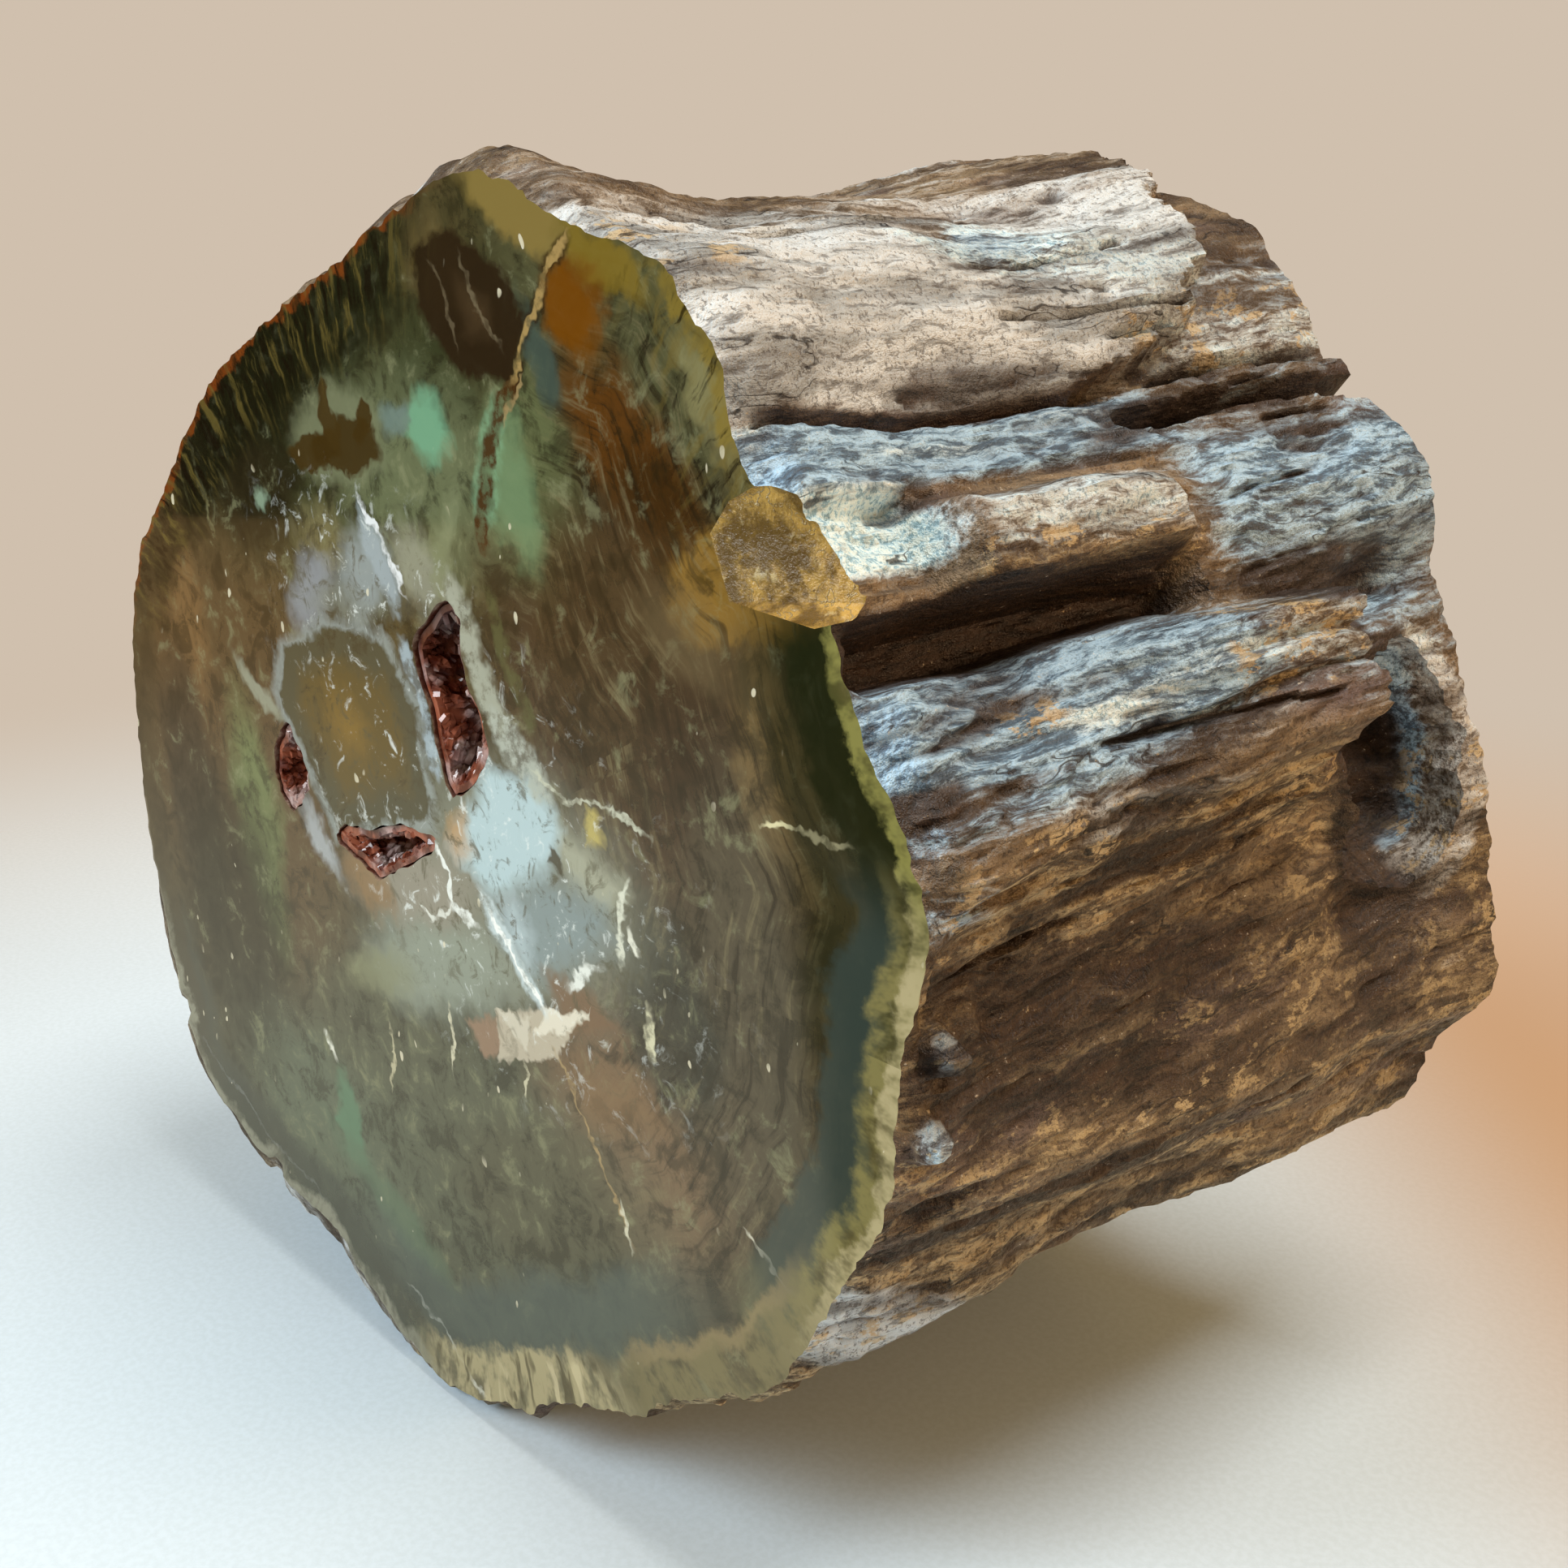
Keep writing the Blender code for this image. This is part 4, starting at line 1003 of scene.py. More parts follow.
def side_mask(across, up, corners, soft):
    """Mask of a patch with straight sides: the least of its sides' ramps, each rising over soft mm inwards.

    A side's ramp is a * across + b * up + c. Across and up hold one coordinate three times over, so
    that each vector node works out three sides at once.
    """
    corners = np.array(corners, float)
    along = np.roll(corners, -1, axis=0) - corners
    inward = np.stack([-along[:, 1], along[:, 0]], axis=1)
    inward *= np.sign(((corners.mean(axis=0) - corners) * inward).sum(axis=1))[:, None]
    inward /= np.linalg.norm(inward, axis=1, keepdims=True) * soft * MM
    offset = -((corners * MM + (AXIS_X, 0)) * inward).sum(axis=1)
    sides = np.column_stack([inward, offset])
    sides = np.concatenate([sides, np.repeat(sides[-1:], -len(sides) % 3, axis=0)])
    least = None
    for a, b, c in sides.reshape(-1, 3, 3).transpose(0, 2, 1).tolist():
        ramps = vector_maths("MULTIPLY_ADD", {0: up, 1: b, 2: c}).outputs[0]
        ramps = vector_maths("MULTIPLY_ADD", {0: across, 1: a, 2: ramps}).outputs[0]
        least = ramps if least is None else vector_maths("MINIMUM", {0: least, 1: ramps}).outputs[0]
    x, y, z = put(least.id_data, "ShaderNodeSeparateXYZ", {0: least}).outputs
    inside = maths("MINIMUM", maths("MINIMUM", x, y), z)
    inside.node.use_clamp = True
    return inside


def laid_on(colour, mask, shade, strength):
    """The colour with a shade laid on it by a mask and a strength."""
    return blended(times(mask, strength), colour, tint(*shade))


def polished_colour(place, rim):
    """Base colour of the polished face: ground, growth rings, patches, milky clouds and veins, with painted glints
    among the veins.
    """
    tree = place.id_data
    loose = shaken(shaken(place, 70, 0.013, 3), 300, 0.004, 2)
    tight = shaken(shaken(place, 110, 0.0075, 3), 520, 0.002, 1)
    mottle = cloud(place, 46, 5, 0.62, twist=0.6)
    colour = blended(ramped(mottle, 0.36, 0.66), tint(40, 38, 20), tint(84, 72, 44))
    for centre, half, turn, soft, shade, strength in GROUND:
        colour = blended(patch_mask(loose, centre, half, turn, soft, strength), colour, tint(*shade))

    rings = cloud(shaken(rim, 40, 0.004), 430, 4, 0.62, stretch=(0.07, 1.0, 1.0))
    right_half = patch_mask(place, (72, 148), (36, 92), 8, 0.4)
    dark_rings = times(ramped(rings, 0.5, 0.36), right_half)
    colour = laid_on(colour, dark_rings, (34, 26, 12), 0.75)
    pale_rings = times(ramped(rings, 0.54, 0.68), right_half)
    colour = laid_on(colour, pale_rings, (126, 116, 84), 0.4)

    fine = cloud(place, 150, 5, 0.68, twist=0.5)
    colour = laid_on(colour, ramped(fine, 0.52, 0.36), (30, 26, 12), 0.6)
    colour = laid_on(colour, ramped(fine, 0.54, 0.72), (136, 138, 104), 0.45)
    for centre, half, turn, soft, shade, strength in FEATURES:
        colour = blended(patch_mask(loose, centre, half, turn, soft, strength), colour, tint(*shade))
    parts = put(tree, "ShaderNodeSeparateXYZ", {0: tight}).outputs
    across, up = (
        put(tree, "ShaderNodeCombineXYZ", {0: part, 1: part, 2: part}).outputs[0] for part in (parts[0], parts[2])
    )
    for corners, soft, shade, strength in FACETS:
        colour = laid_on(colour, side_mask(across, up, corners, soft), shade, strength)

    milk = cloud(place, 210, 5, 0.7, twist=0.8)
    agate = patch_mask(loose, (14, 124), (56, 34), -18, 0.5)
    upper_agate = patch_mask(loose, (-14, 163), (34, 17), -10, 0.5)
    agate = maths("MAXIMUM", agate, upper_agate)
    colour = laid_on(colour, times(ramped(milk, 0.47, 0.33), agate), (78, 74, 54), 0.75)
    colour = laid_on(colour, times(ramped(milk, 0.57, 0.7), agate), (222, 228, 224), 0.7)
    heart = patch_mask(loose, (-24, 136), (25, 23), -18, 0.3)
    dim = ramped(plus(mottle, times(milk, 0.6)), 0.78, 0.68)
    colour = laid_on(colour, times(dim, heart), (58, 48, 26), 0.6)
    fading = ramped(cloud(place, 330, 5, 0.65), 0.36, 0.56, 0.3, 1.0)
    for points, wide, shade, strength in VEINS:
        vein = None
        for centre, half, turn in vein_patches(points, wide):
            part = patch_ball(tight, centre, half, turn, VEIN_SOFT)
            vein = part if vein is None else maths("MAXIMUM", vein, part)
        colour = blended(times(soft_edge(vein, VEIN_SOFT, strength), fading), colour, tint(*shade))
    return colour


def rim_bands(colour, place, rim):
    """Bands along the rim, by part of it and distance in: tufts, green-black, cream blocks and rind."""
    parts = put(rim.id_data, "ShaderNodeSeparateXYZ", {0: rim})
    wave = cloud(place, 60, 4, 0.6)
    ripple = cloud(place, 300, 5, 0.65)
    inward = plus(parts.outputs[1], times(less(wave, 0.5), 0.010))
    inward = plus(inward, times(less(ripple, 0.5), 0.0052))
    broken = ramped(cloud(rim, 120, 4, 0.65, stretch=(1.0, 0.7, 1.0)), 0.38, 0.56, 0.25, 1.0)
    tufts = cloud(shaken(rim, 120, 0.005), 330, 5, 0.62, stretch=(1.0, 0.2, 1.0))

    places = {}

    def band(near, far, soft, where, strength=1.0):
        """The strength between two distances in mm in from the rim, within a patch of the face."""
        if where not in places:
            places[where] = patch_mask(place, *where)
        low = ramped(inward, (near - soft) * MM, (near + soft) * MM, 0.0, strength)
        high = ramped(inward, (far - soft) * MM, (far + soft) * MM, 1.0, 0.0)
        return times(times(low, high), places[where])

    right = ((108, 150), (30, 36), -16, 0.25)
    low_right = ((110, 100), (26, 42), -4, 0.2)
    corner = ((84, 46), (34, 26), 48, 0.3)
    upper_left = ((-62, 205), (80, 44), 38, 0.2)
    upper_right = ((84, 206), (24, 30), -50, 0.3)
    blocks = ((24, 14), (36, 18), 16, 0.2)
    above_blocks = ((24, 36), (56, 26), 16, 0.4)
    low_left = ((-66, 30), (66, 26), -34, 0.3)
    left = ((-116, 96), (24, 66), 0, 0.3)
    steady = [
        (0, 15, 3, upper_left, (22, 22, 8), 0.8),
        (0, 12, 2.5, right, (26, 30, 12), 0.93),
        (12, 20, 3.0, right, (44, 42, 24), 0.7),
        (5, 15, 1.5, low_right, (52, 62, 56), 0.88),
        (10, 24, 4, above_blocks, (72, 82, 76), 0.75),
        (0, 14, 4, low_left, (62, 66, 58), 0.8),
        (-2, 10, 2, left, (64, 54, 36), 0.5),
        (7, 10, 1.2, corner, (136, 120, 84), 0.7),
    ]
    for near, far, soft, where, shade, strength in steady:
        colour = blended(band(near, far, soft, where, strength), colour, tint(*shade))
    torn = [
        (-2, 1.4, 0.6, upper_left, (110, 54, 16), 0.95),
        (-2, 3.0, 1.0, upper_right, (122, 104, 44), 0.85),
        (-2, 2.2, 0.8, right, (132, 128, 70), 0.9),
        (-2, 7.0, 1.4, low_right, (124, 116, 72), 0.95),
        (-2, 2.6, 0.9, low_right, (170, 158, 120), 0.95),
        (-2, 8.0, 1.4, corner, (112, 103, 70), 0.9),
        (-2, 11, 1.2, blocks, (158, 148, 112), 0.93),
        (-2, 3, 1.2, low_left, (142, 142, 124), 0.7),
    ]
    for near, far, soft, where, shade, strength in torn:
        mask = times(band(near, far, soft, where, strength), broken)
        colour = blended(mask, colour, tint(*shade))
    coarse = cloud(shaken(rim, 90, 0.006), 150, 3, 0.6, stretch=(1.0, 0.16, 1.0))
    between = times(ramped(coarse, 0.46, 0.4), band(-2, 10, 1.5, blocks))
    colour = laid_on(colour, between, (66, 58, 34), 0.8)
    pale_blocks = times(ramped(coarse, 0.54, 0.62), band(-2, 8, 1.5, blocks))
    colour = laid_on(colour, pale_blocks, (188, 176, 140), 0.7)
    whole_top = maths("MAXIMUM", places[upper_left], places[upper_right])
    near_rim = times(ramped(parts.outputs[1], 0.005, 0.022, 1.0, 0.0), whole_top)
    pale_tufts = times(ramped(tufts, 0.5, 0.66), near_rim)
    colour = laid_on(colour, pale_tufts, (104, 90, 44), 0.6)
    dark_tufts = times(ramped(tufts, 0.48, 0.38), near_rim)
    return laid_on(colour, dark_tufts, (20, 12, 4), 0.8)


def finish_polished(material):
    """The polish: a smooth dielectric over the agate's colour, with pits of several sizes whose glints are painted
    pale.
    """
    tree, place = emptied(material)
    rim = put(tree, "ShaderNodeUVMap", uv_map="rim").outputs[0]
    colour = rim_bands(polished_colour(place, rim), place, rim)
    drawn = stretched(place, (1.0, 1.0, 0.6))
    specks = put(tree, "ShaderNodeTexVoronoi", {"Vector": shaken(drawn, 500, 0.0016, 0.0), "Scale": 330.0})
    size = put(tree, "ShaderNodeSeparateColor", {0: specks.outputs["Color"]}).outputs[0]
    few = ramped(cloud(place, 52, 2, 0.65), 0.5, 0.62)
    reach = times(maths("POWER", size, 4.0), 0.24)
    dots = ramped(less(reach, specks.outputs["Distance"]), 0.0, 0.05)
    dots = times(dots, few)
    # The dots are pits in the bump and a rougher polish; their pale colour is painted glints.
    colour = laid_on(colour, dots, (214, 206, 178), 0.75)
    smear = cloud(place, 38, 3, 0.65)
    roughness = ramped(smear, 0.35, 0.7, 0.05, 0.13)
    roughness = plus(roughness, times(dots, 0.3))
    height = plus(times(dots, -1.0), times(smear, 0.1))
    surfaced(tree, colour, roughness, 1.55, height, strength=0.3, deep=0.0003)


finish_polished(finishes[POLISHED])


# The weathered flank: the outer wood, turned to stone and then worn. Iron has stained it brown and
# gold, the harder plates are pale or blue-grey, and the fibres still run from end to end. The dark
# tone is mostly painted shade in its grooves, seams and hollows and on its belly, and the blue-grey
# is partly a painted cool sheen on the surfaces that face up.
def grain_group():
    """Node group: streaks, thin checks and grit of the grain, stretched along the log, as values and a height.

    A check is a line where one of the noises passes through its middle value.
    """
    tree = bpy.data.node_groups.new("fossil_grain", "ShaderNodeTree")
    tree.interface.new_socket("Place", in_out="INPUT", socket_type="NodeSocketVector")
    stretch = tree.interface.new_socket("Stretch", in_out="INPUT", socket_type="NodeSocketVector")
    stretch.default_value = (1.0, 0.15, 1.0)
    for name in ("Broad", "Fine", "Grit", "Checks", "Height"):
        tree.interface.new_socket(name, in_out="OUTPUT", socket_type="NodeSocketFloat")
    given = tree.nodes.new("NodeGroupInput")
    bent = shaken(given.outputs["Place"], 42, 0.008)
    along = stretched(bent, given.outputs["Stretch"])
    broad = cloud(along, 110, 4, 0.7)
    fine = cloud(along, 560, 4, 0.74)
    grit = cloud(given.outputs["Place"], 900, 3, 0.75)
    lines = cloud(along, 230, 2, 0.5, stretch=(1.0, 0.5, 1.0))
    off = maths("ABSOLUTE", less(lines, 0.5), 0.0)
    checks = times(ramped(off, 0.004, 0.016, 1.0, 0.0), ramped(broad, 0.5, 0.42))
    height = plus(times(fine, 0.5), times(grit, 0.65))
    given_out = {"Broad": broad, "Fine": fine, "Grit": grit, "Checks": checks, "Height": height}
    put(tree, "NodeGroupOutput", given_out)
    return tree


FOSSIL_GRAIN = grain_group()


def finish_weathered(material):
    """Brown stone streaked along the grain, with the pale, blue, golden and dark tones laid on: the dark mostly
    painted shade, the blue partly a painted cool sheen, pale specks partly painted glints.
    """
    tree, place = emptied(material)
    grain = put(tree, "ShaderNodeGroup", node_tree=FOSSIL_GRAIN)
    tree.links.new(place, grain.inputs["Place"])
    broad, fine, grit = grain.outputs["Broad"], grain.outputs["Fine"], grain.outputs["Grit"]
    painted = put(tree, "ShaderNodeAttribute", attribute_name="flank_tones_and_shade", attribute_type="GEOMETRY")
    tone = put(tree, "ShaderNodeSeparateColor", {0: painted.outputs["Color"]})
    pale, blue, gold, dark = *tone.outputs[:3], painted.outputs["Alpha"]

    colour = blended(ramped(broad, 0.38, 0.62), tint(76, 61, 45), tint(138, 119, 92))
    mauve = cloud(place, 34, 2, 0.6, stretch=(1, 0.35, 1))
    colour = laid_on(colour, ramped(mauve, 0.5, 0.66), (104, 90, 94), 0.6)

    def torn(mask, low, high, by=0.5):
        """The mask with its edge broken up by the streaks, so that a stain follows the grain."""
        moved = plus(mask, times(less(broad, 0.5), by * 1.5))
        moved = plus(moved, times(less(fine, 0.5), by * 2))
        return ramped(moved, low, high)

    golden = blended(ramped(fine, 0.42, 0.6), tint(104, 84, 54), tint(174, 156, 118))
    colour = blended(torn(gold, 0.28, 0.85), colour, golden)
    # Blue-grey stone and a painted cool sheen.
    slate_and_sheen = blended(ramped(fine, 0.4, 0.6), tint(80, 108, 132), tint(170, 206, 234))
    on_blue = torn(blue, 0.25, 0.8)
    colour = blended(on_blue, colour, slate_and_sheen)
    cream = blended(ramped(broad, 0.38, 0.6), tint(146, 152, 154), tint(208, 217, 222))
    on_pale = torn(pale, 0.22, 0.8)
    colour = blended(on_pale, colour, cream)
    # A painted cool sheen, near white, where the blue and pale tones meet.
    blue_white_sheen = blended(ramped(grit, 0.4, 0.56), tint(166, 212, 236), tint(228, 250, 255))
    colour = blended(times(on_blue, on_pale), colour, blue_white_sheen)
    flecks = cloud(place, 210, 4, 0.75, stretch=(1.0, 0.45, 1.0))
    flecks = times(ramped(flecks, 0.54, 0.59), ramped(gold, 0.05, 0.3))
    colour = laid_on(colour, flecks, (198, 176, 132), 0.75)
    pits = maths("MAXIMUM", ramped(fine, 0.48, 0.36), ramped(grit, 0.46, 0.38))
    low_grain = times(pits, ramped(on_blue, 0.0, 1.0, 1.0, 0.55))
    colour = laid_on(colour, low_grain, (52, 40, 28), 0.62)
    # The dark tone, mostly painted shade in the flank's recesses.
    deep = blended(ramped(fine, 0.3, 0.7), tint(24, 15, 10), tint(64, 45, 30))
    colour = blended(ramped(dark, 0.15, 0.9, 0.0, 0.95), colour, deep)
    colour = laid_on(colour, grain.outputs["Checks"], (24, 16, 10), 0.85)
    # Pale specks on the raised grit: partly pale grains, partly painted glints.
    flakes = times(ramped(grit, 0.6, 0.7), ramped(fine, 0.54, 0.62))
    speck_and_glint_tone = blended(ramped(broad, 0.45, 0.55), tint(190, 170, 132), tint(232, 226, 212))
    colour = blended(times(flakes, 0.7), colour, speck_and_glint_tone)

    roughness = ramped(grit, 0.36, 0.6, 0.7, 0.34)
    surfaced(tree, colour, roughness, 1.5, grain.outputs["Height"], strength=0.85, deep=0.0013)


finish_weathered(finishes[WEATHERED])


# The broken end: a rough break across the grain, stepped and splintered, brown at the rim with
# duller grey-brown and rust patches inside it.
def finish_broken(material):
    """Dull brown and grey patches with rust in between, dark in the low places of the grit."""
    tree, place = emptied(material)
    grain = put(tree, "ShaderNodeGroup", {"Stretch": (1.0, 0.5, 1.0)}, node_tree=FOSSIL_GRAIN)
    tree.links.new(place, grain.inputs["Place"])
    patchy = cloud(place, 24, 5, 0.6, twist=0.8)
    rust = cloud(place, 44, 4, 0.6, twist=0.5)
    colour = blended(ramped(patchy, 0.4, 0.6), tint(86, 66, 46), tint(138, 128, 112))
    colour = blended(ramped(rust, 0.54, 0.66, 0.0, 0.8), colour, tint(142, 92, 48))
    colour = blended(ramped(grain.outputs["Fine"], 0.36, 0.54, 0.6, 0.0), colour, tint(48, 36, 26))
    colour = blended(ramped(grain.outputs["Grit"], 0.62, 0.74, 0.0, 0.6), colour, tint(200, 188, 164))
    roughness = ramped(grain.outputs["Fine"], 0.3, 0.7, 0.8, 0.5)
    surfaced(tree, colour, roughness, 1.5, grain.outputs["Height"], strength=0.8, deep=0.0014)


finish_broken(finishes[BROKEN])


# The walls of the hollows above their crystals: the agate cut through, pale at the mouth and
# stained red-brown further in.
def finish_hollow_wall(material):
    """Pale agate at the face, red-brown by its depth behind it, both broken up by noise."""
    tree, place = emptied(material)
    parts = put(tree, "ShaderNodeSeparateXYZ", {0: place})
    rough = cloud(place, 420, 4, 0.6)
    deep = plus(parts.outputs[1], times(less(rough, 0.5), 0.004))
    stain = ramped(deep, FACE_Y - 0.0004, FACE_Y + 0.0009)
    colour = blended(stain, tint(150, 128, 110), tint(84, 40, 28))
    surfaced(tree, colour, 0.35, 1.54, rough, strength=0.8, deep=0.0008)


finish_hollow_wall(finishes[HOLLOW_WALL])


# The gold chip at the right edge: a fresh break through honey-coloured agate, glassy, its flat
# facets crossed by healed cracks that catch the light.
def finish_gold_chip(material):
    """Honey agate, dusky in clouds, with pale crackle where a noise passes through its middle value, and whitish
    patches that are painted glints.
    """
    tree, place = emptied(material)
    bent = shaken(place, 160, 0.004, 4)
    dusky = cloud(bent, 120, 6, 0.7)
    colour = blended(ramped(dusky, 0.4, 0.6), tint(98, 74, 28), tint(186, 150, 76))
    off = maths("ABSOLUTE", less(cloud(bent, 260, 3), 0.5), 0.0)
    crackle = times(ramped(off, 0.0, 0.016, 1.0, 0.0), ramped(dusky, 0.46, 0.56))
    colour = laid_on(colour, crackle, (226, 208, 168), 0.7)
    # Whitish patches: painted glints.
    whitish = cloud(place, 200, 6, 0.7)
    colour = laid_on(colour, ramped(whitish, 0.58, 0.68), (214, 196, 146), 0.5)
    height = plus(whitish, times(crackle, 0.4))
    surfaced(tree, colour, 0.13, 1.55, height, strength=0.9, deep=0.0014)


finish_gold_chip(finishes[GOLD_CHIP])


# The crystal crusts: druses of small quartz points grown on the walls of the three hollows, stained
# red-brown, paler near the mouth. Each is a thin cup with points standing on its inside.
CRUST_GAP = 0.3
CRUST_THICKNESS = 1.2
CRUST_BELOW_FACE = 1.0
CRUST_RINGS = 16
POINTS_AROUND = 6
CORNERS_EACH = 2 * POINTS_AROUND + 1


def crust_cup(hollow):
    """Rings of the cup: up the outside from its floor to the lip, then down the uneven inside."""
    lip = CRUST_BELOW_FACE / hollow["deep"]
    floor = 1 - CRUST_GAP / hollow["deep"]
    inner_floor = floor - CRUST_THICKNESS / hollow["deep"]
    outside = [
        hollow_ring(hollow, share, CRUST_GAP + 0.1, HOLLOW_ROUGH)
        for share in np.linspace(floor, lip, CRUST_RINGS // 2)
    ]
    inside = [
        hollow_ring(hollow, share, CRUST_GAP + CRUST_THICKNESS, 0.9)
        for share in np.linspace(lip, inner_floor, CRUST_RINGS)
    ]
    return outside, inside


def quartz_points(hollow, inside):
    """Six-sided points on the inside of the cup: each a short prism and a pyramid on a random wall place.

    Returns corners as (crystals, 13, 3): six at the root, six at the shoulder, one tip.
    """
    chance = np.random.default_rng(hollow["seed"] + 20)
    wall = np.array(inside)
    rows, around_count = wall.shape[:2]
    mouth = np.array(hollow["mouth"], float)
    edge = np.linalg.norm(np.roll(mouth, -1, axis=0) - mouth, axis=1).sum()
    count = int(edge * hollow["deep"] * 0.42)
    row = chance.uniform(0.3, rows - 1.01, count)
    column = chance.integers(0, around_count, count)
    low = np.floor(row).astype(int)
    part = (row - low)[:, None]
    root = wall[low, column] * (1 - part) + wall[low + 1, column] * part
    centre = wall.mean(axis=(0, 1))
    centre[1] = FACE_Y + 0.0007 * hollow["deep"]
    inward = centre - root
    inward[:, 1] *= 0.35
    inward /= np.linalg.norm(inward, axis=1, keepdims=True)
    inward += chance.normal(0, 0.35, (count, 3))
    inward /= np.linalg.norm(inward, axis=1, keepdims=True)
    wide = chance.uniform(0.45, 1.1, count) * MM
    long = wide * chance.uniform(1.4, 2.8, count)
    side = np.cross(inward, (0.0, 1.0, 0.0) + chance.normal(0, 0.3, (count, 3)))
    side /= np.linalg.norm(side, axis=1, keepdims=True)
    other = np.cross(inward, side)
    turn = np.arange(POINTS_AROUND) / POINTS_AROUND * 2 * np.pi
    ring = side[:, None] * np.cos(turn)[None, :, None] + other[:, None] * np.sin(turn)[None, :, None]
    ring = ring * wide[:, None, None]
    foot = (root - inward * 0.0006)[:, None] + ring
    shoulder = (root + inward * (long * 0.55)[:, None])[:, None] + ring * 0.94
    tip = (root + inward * long[:, None])[:, None]
    corners = np.concatenate([foot, shoulder, tip], axis=1)
    corners[..., 1] = np.maximum(corners[..., 1], FACE_Y + 0.0005)
    return corners


def crust_mesh(name, hollow):
    """The cup and its quartz points as one mesh, with how near its tip each point of it is."""
    outside, inside = crust_cup(hollow)
    faces, _ = closed_shell(outside + inside)
    cup = np.concatenate(outside + inside)
    crystals = quartz_points(hollow, inside)
    base = len(cup) + np.arange(len(crystals))[:, None] * CORNERS_EACH
    i = np.arange(POINTS_AROUND)
    j = (i + 1) % POINTS_AROUND
    prism = np.stack([base + i, base + j, base + 6 + j, base + 6 + i], axis=-1).reshape(-1, 4)
    pyramid = np.stack([base + 6 + i, base + 6 + j, np.broadcast_to(base + 12, (len(crystals), 6))], axis=-1)
    faces += prism.tolist() + pyramid.reshape(-1, 3).tolist()
    faces += (base + i[::-1]).tolist()
    mesh = bpy.data.meshes.new(name)
    mesh.from_pydata(np.concatenate([cup, crystals.reshape(-1, 3)]).tolist(), [], faces)
    shaped = bmesh.new()
    shaped.from_mesh(mesh)
    bmesh.ops.recalc_face_normals(shaped, faces=shaped.faces)
    shaped.to_mesh(mesh)
    shaped.free()
    tip = np.zeros(len(cup) + len(crystals) * CORNERS_EACH, dtype=np.float32)
    tip[len(cup) :] = np.tile([0.0] * 6 + [0.55] * 6 + [1.0], len(crystals))
    mesh.attributes.new("tip", "FLOAT", "POINT").data.foreach_set("value", tip)
    return mesh


def finish_quartz(material):
    """Quartz stained red-brown at its roots and deep in the hollow, clearer and paler at tips and mouth; painted
    shade darkens it deeper in and under the top of the long hollow.
    """
    tree, place = emptied(material)
    tip = put(tree, "ShaderNodeAttribute", attribute_name="tip").outputs["Fac"]
    parts = put(tree, "ShaderNodeSeparateXYZ", {0: place}).outputs
    depth = parts[1]
    noise = cloud(place, 260, 4, 0.6)
    stained = blended(ramped(noise, 0.38, 0.62), tint(84, 34, 20), tint(150, 86, 64))
    clear = blended(ramped(noise, 0.4, 0.6), tint(160, 146, 146), tint(210, 212, 216))
    patchy = ramped(cloud(place, 90, 3), 0.42, 0.6)
    near_mouth = ramped(depth, FACE_Y + 0.003, FACE_Y + 0.013, 1.0, 0.0)
    amount = times(plus(times(tip, 0.5), 0.35), near_mouth)
    colour = blended(times(amount, patchy), stained, clear)
    # Painted shade, darker deeper in the hollow.
    colour = laid_on(colour, ramped(depth, FACE_Y + 0.006, FACE_Y + 0.016), (34, 12, 8), 0.8)
    # Painted shade under the top of the long hollow.
    colour = laid_on(colour, ramped(parts[2], 0.151, 0.158), (52, 20, 12), 0.75)
    surfaced(tree, colour, 0.18, 1.54)


quartz = bpy.data.materials.new("stained_quartz")
finish_quartz(quartz)
for name, hollow in HOLLOWS.items():
    crust = shown(name + "_druse", crust_mesh(name + "_druse", hollow))
    crust.data.materials.append(quartz)
    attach(crust, "root")
    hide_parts(name + "_crystal_crust")


# The setting: a sheet of pale paper under the stone that fades into the backdrop's tone, with a
# painted warm shadow on it to the right of and behind the stone, cool soft light from the front
# left, and warm soft light from above and behind.
PAPER_HALF = 9.0
PAPER_FRONT = ((-0.593, -0.805), 1.03)
PAPER_SIDE = ((0.647, -0.762), 0.143)


def either(amount, first, second):
    """The first shader where the amount is 0 and the second where it is 1."""
    return put(amount.id_data, "ShaderNodeMixShader", {0: amount, 1: first, 2: second}).outputs[0]


def finish_paper(material):
    """Matt paper that fades into the backdrop, with a painted warm shadow to the right and behind; in reflections it
    is dimmer and ends at two straight edges.
    """
    tree, place = emptied(material)
    away = vector_maths("LENGTH", {0: place}).outputs["Value"]
    path = put(tree, "ShaderNodeLightPath")
    gone = times(ramped(away, 0.1, 0.6), path.outputs["Is Camera Ray"])
    for way, reach in (PAPER_FRONT, PAPER_SIDE):
        along = vector_maths("DOT_PRODUCT", {0: place, 1: (*way, 0.0)}).outputs["Value"]
        beyond = ramped(along, reach - 0.004, reach + 0.004)
        gone = maths("MAXIMUM", gone, times(beyond, path.outputs["Is Glossy Ray"]))
    tooth = cloud(place, 700, 2)
    colour = blended(ramped(tooth, 0.3, 0.7), tint(199, 217, 230), tint(205, 223, 237))
    # A painted warm shadow on the paper to the right of and behind the stone.
    warm_shadow_way = vector_maths("DOT_PRODUCT", {0: place, 1: (0.62, 0.78, 0.0)}).outputs["Value"]
    colour = blended(ramped(warm_shadow_way, 0.1, 0.23), colour, tint(190, 156, 120))
    dimmed = blended(ramped(away, 0.15, 0.8), tint(180, 184, 174), tint(126, 101, 68))
    colour = blended(path.outputs["Is Glossy Ray"], colour, dimmed)
    sheet = put(tree, "ShaderNodeBsdfDiffuse", {"Color": colour}).outputs[0]
    clear = put(tree, "ShaderNodeBsdfTransparent").outputs[0]
    put(tree, "ShaderNodeOutputMaterial", {"Surface": either(gone, sheet, clear)})


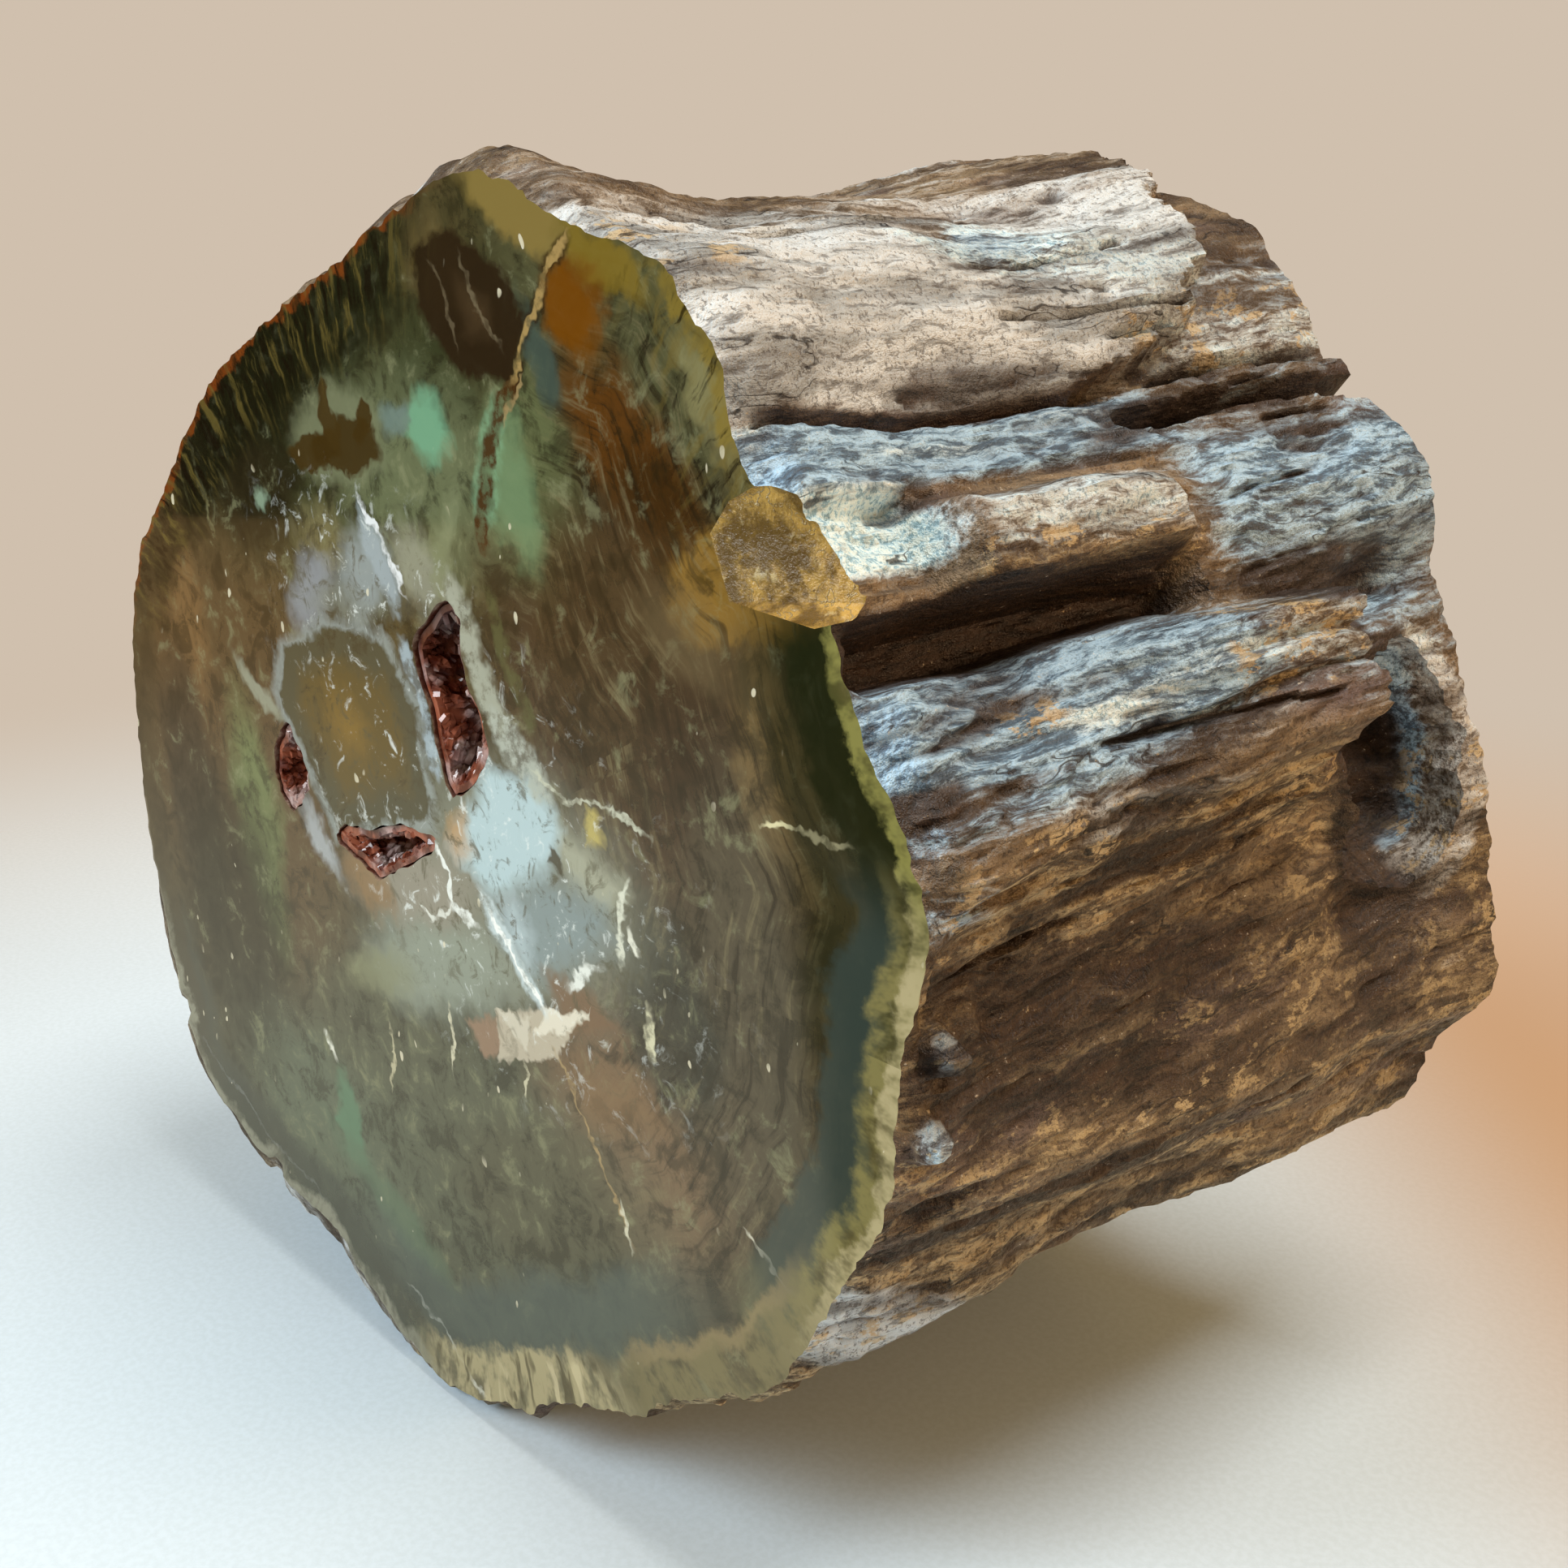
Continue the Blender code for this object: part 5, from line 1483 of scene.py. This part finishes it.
paper = bpy.data.meshes.new("paper")
paper_corners = [(PAPER_HALF * x, PAPER_HALF * y, 0) for x, y in ((-1, -1), (1, -1), (1, 1), (-1, 1))]
paper.from_pydata(paper_corners, [], [(0, 1, 2, 3)])
paper_sheet = shown("paper", paper)
paper_finish = bpy.data.materials.new("paper")
finish_paper(paper_finish)
paper.materials.append(paper_finish)


def finish_world(world):
    """The backdrop's beige where the camera looks past the paper, a dim warm room for everything else."""
    world.use_nodes = True
    tree = world.node_tree
    tree.nodes.clear()
    path = put(tree, "ShaderNodeLightPath").outputs

    def glow(shade, strength):
        """A background of one colour and strength."""
        return put(tree, "ShaderNodeBackground", {"Color": tint(*shade), "Strength": strength}).outputs[0]

    backdrop, room, dusk = glow((208, 192, 174), 1.0), glow((255, 208, 140), 0.37), glow((120, 100, 80), 0.12)
    seen = either(path["Is Camera Ray"], either(path["Is Glossy Ray"], room, dusk), backdrop)
    put(tree, "ShaderNodeOutputWorld", {"Surface": seen})


world = bpy.data.worlds.new("room")
bpy.context.scene.world = world
finish_world(world)


LIT_MIDDLE = (0, 0, 0.11)


def soft_light(name, place, size, power, colour):
    """A square soft light at a place, turned to look at the middle of the stone."""
    lamp = bpy.data.lights.new(name, "AREA")
    lamp.shape = "SQUARE"
    lamp.size = size
    lamp.energy = power
    lamp.color = colour
    holder = shown(name, lamp)
    away = np.array(place) - LIT_MIDDLE
    back = away / np.linalg.norm(away)
    right = np.cross((0, 0, 1), back)
    right /= np.linalg.norm(right)
    up = np.cross(back, right)
    turned = np.eye(4)
    turned[:3, :3] = np.stack([right, up, back], axis=1)
    turned[:3, 3] = place
    holder.matrix_world = Matrix(turned.tolist())


soft_light("window", (-0.8, -1.5, 1.15), 1.0, 40, (0.86, 0.95, 1.0))
soft_light("overhead", (0.5, 0.1, 1.7), 0.8, 24, (1.0, 0.93, 0.85))
soft_light("lamp", (1.5, 0.9, 0.6), 0.6, 13, (1.0, 0.64, 0.36))


# The camera stands where the photograph was taken from: 47 degrees round to the right of the
# polished face and 18 degrees above it, with the object's size in the frame settled by its lens.
CAMERA_PLACE = (0.27397513, -0.24809945, 0.2325799)
CAMERA_AROUND = math.radians(47)
CAMERA_ABOVE = math.radians(18)
camera = shown("camera", bpy.data.cameras.new("camera"))
camera.data.lens = 42.0
camera.data.sensor_width = 36.0
camera.data.clip_start = 0.01
camera.rotation_euler = (math.pi / 2 - CAMERA_ABOVE, 0, CAMERA_AROUND)
camera.location = CAMERA_PLACE
bpy.context.scene.camera = camera
bpy.context.scene.view_settings.view_transform = "Standard"
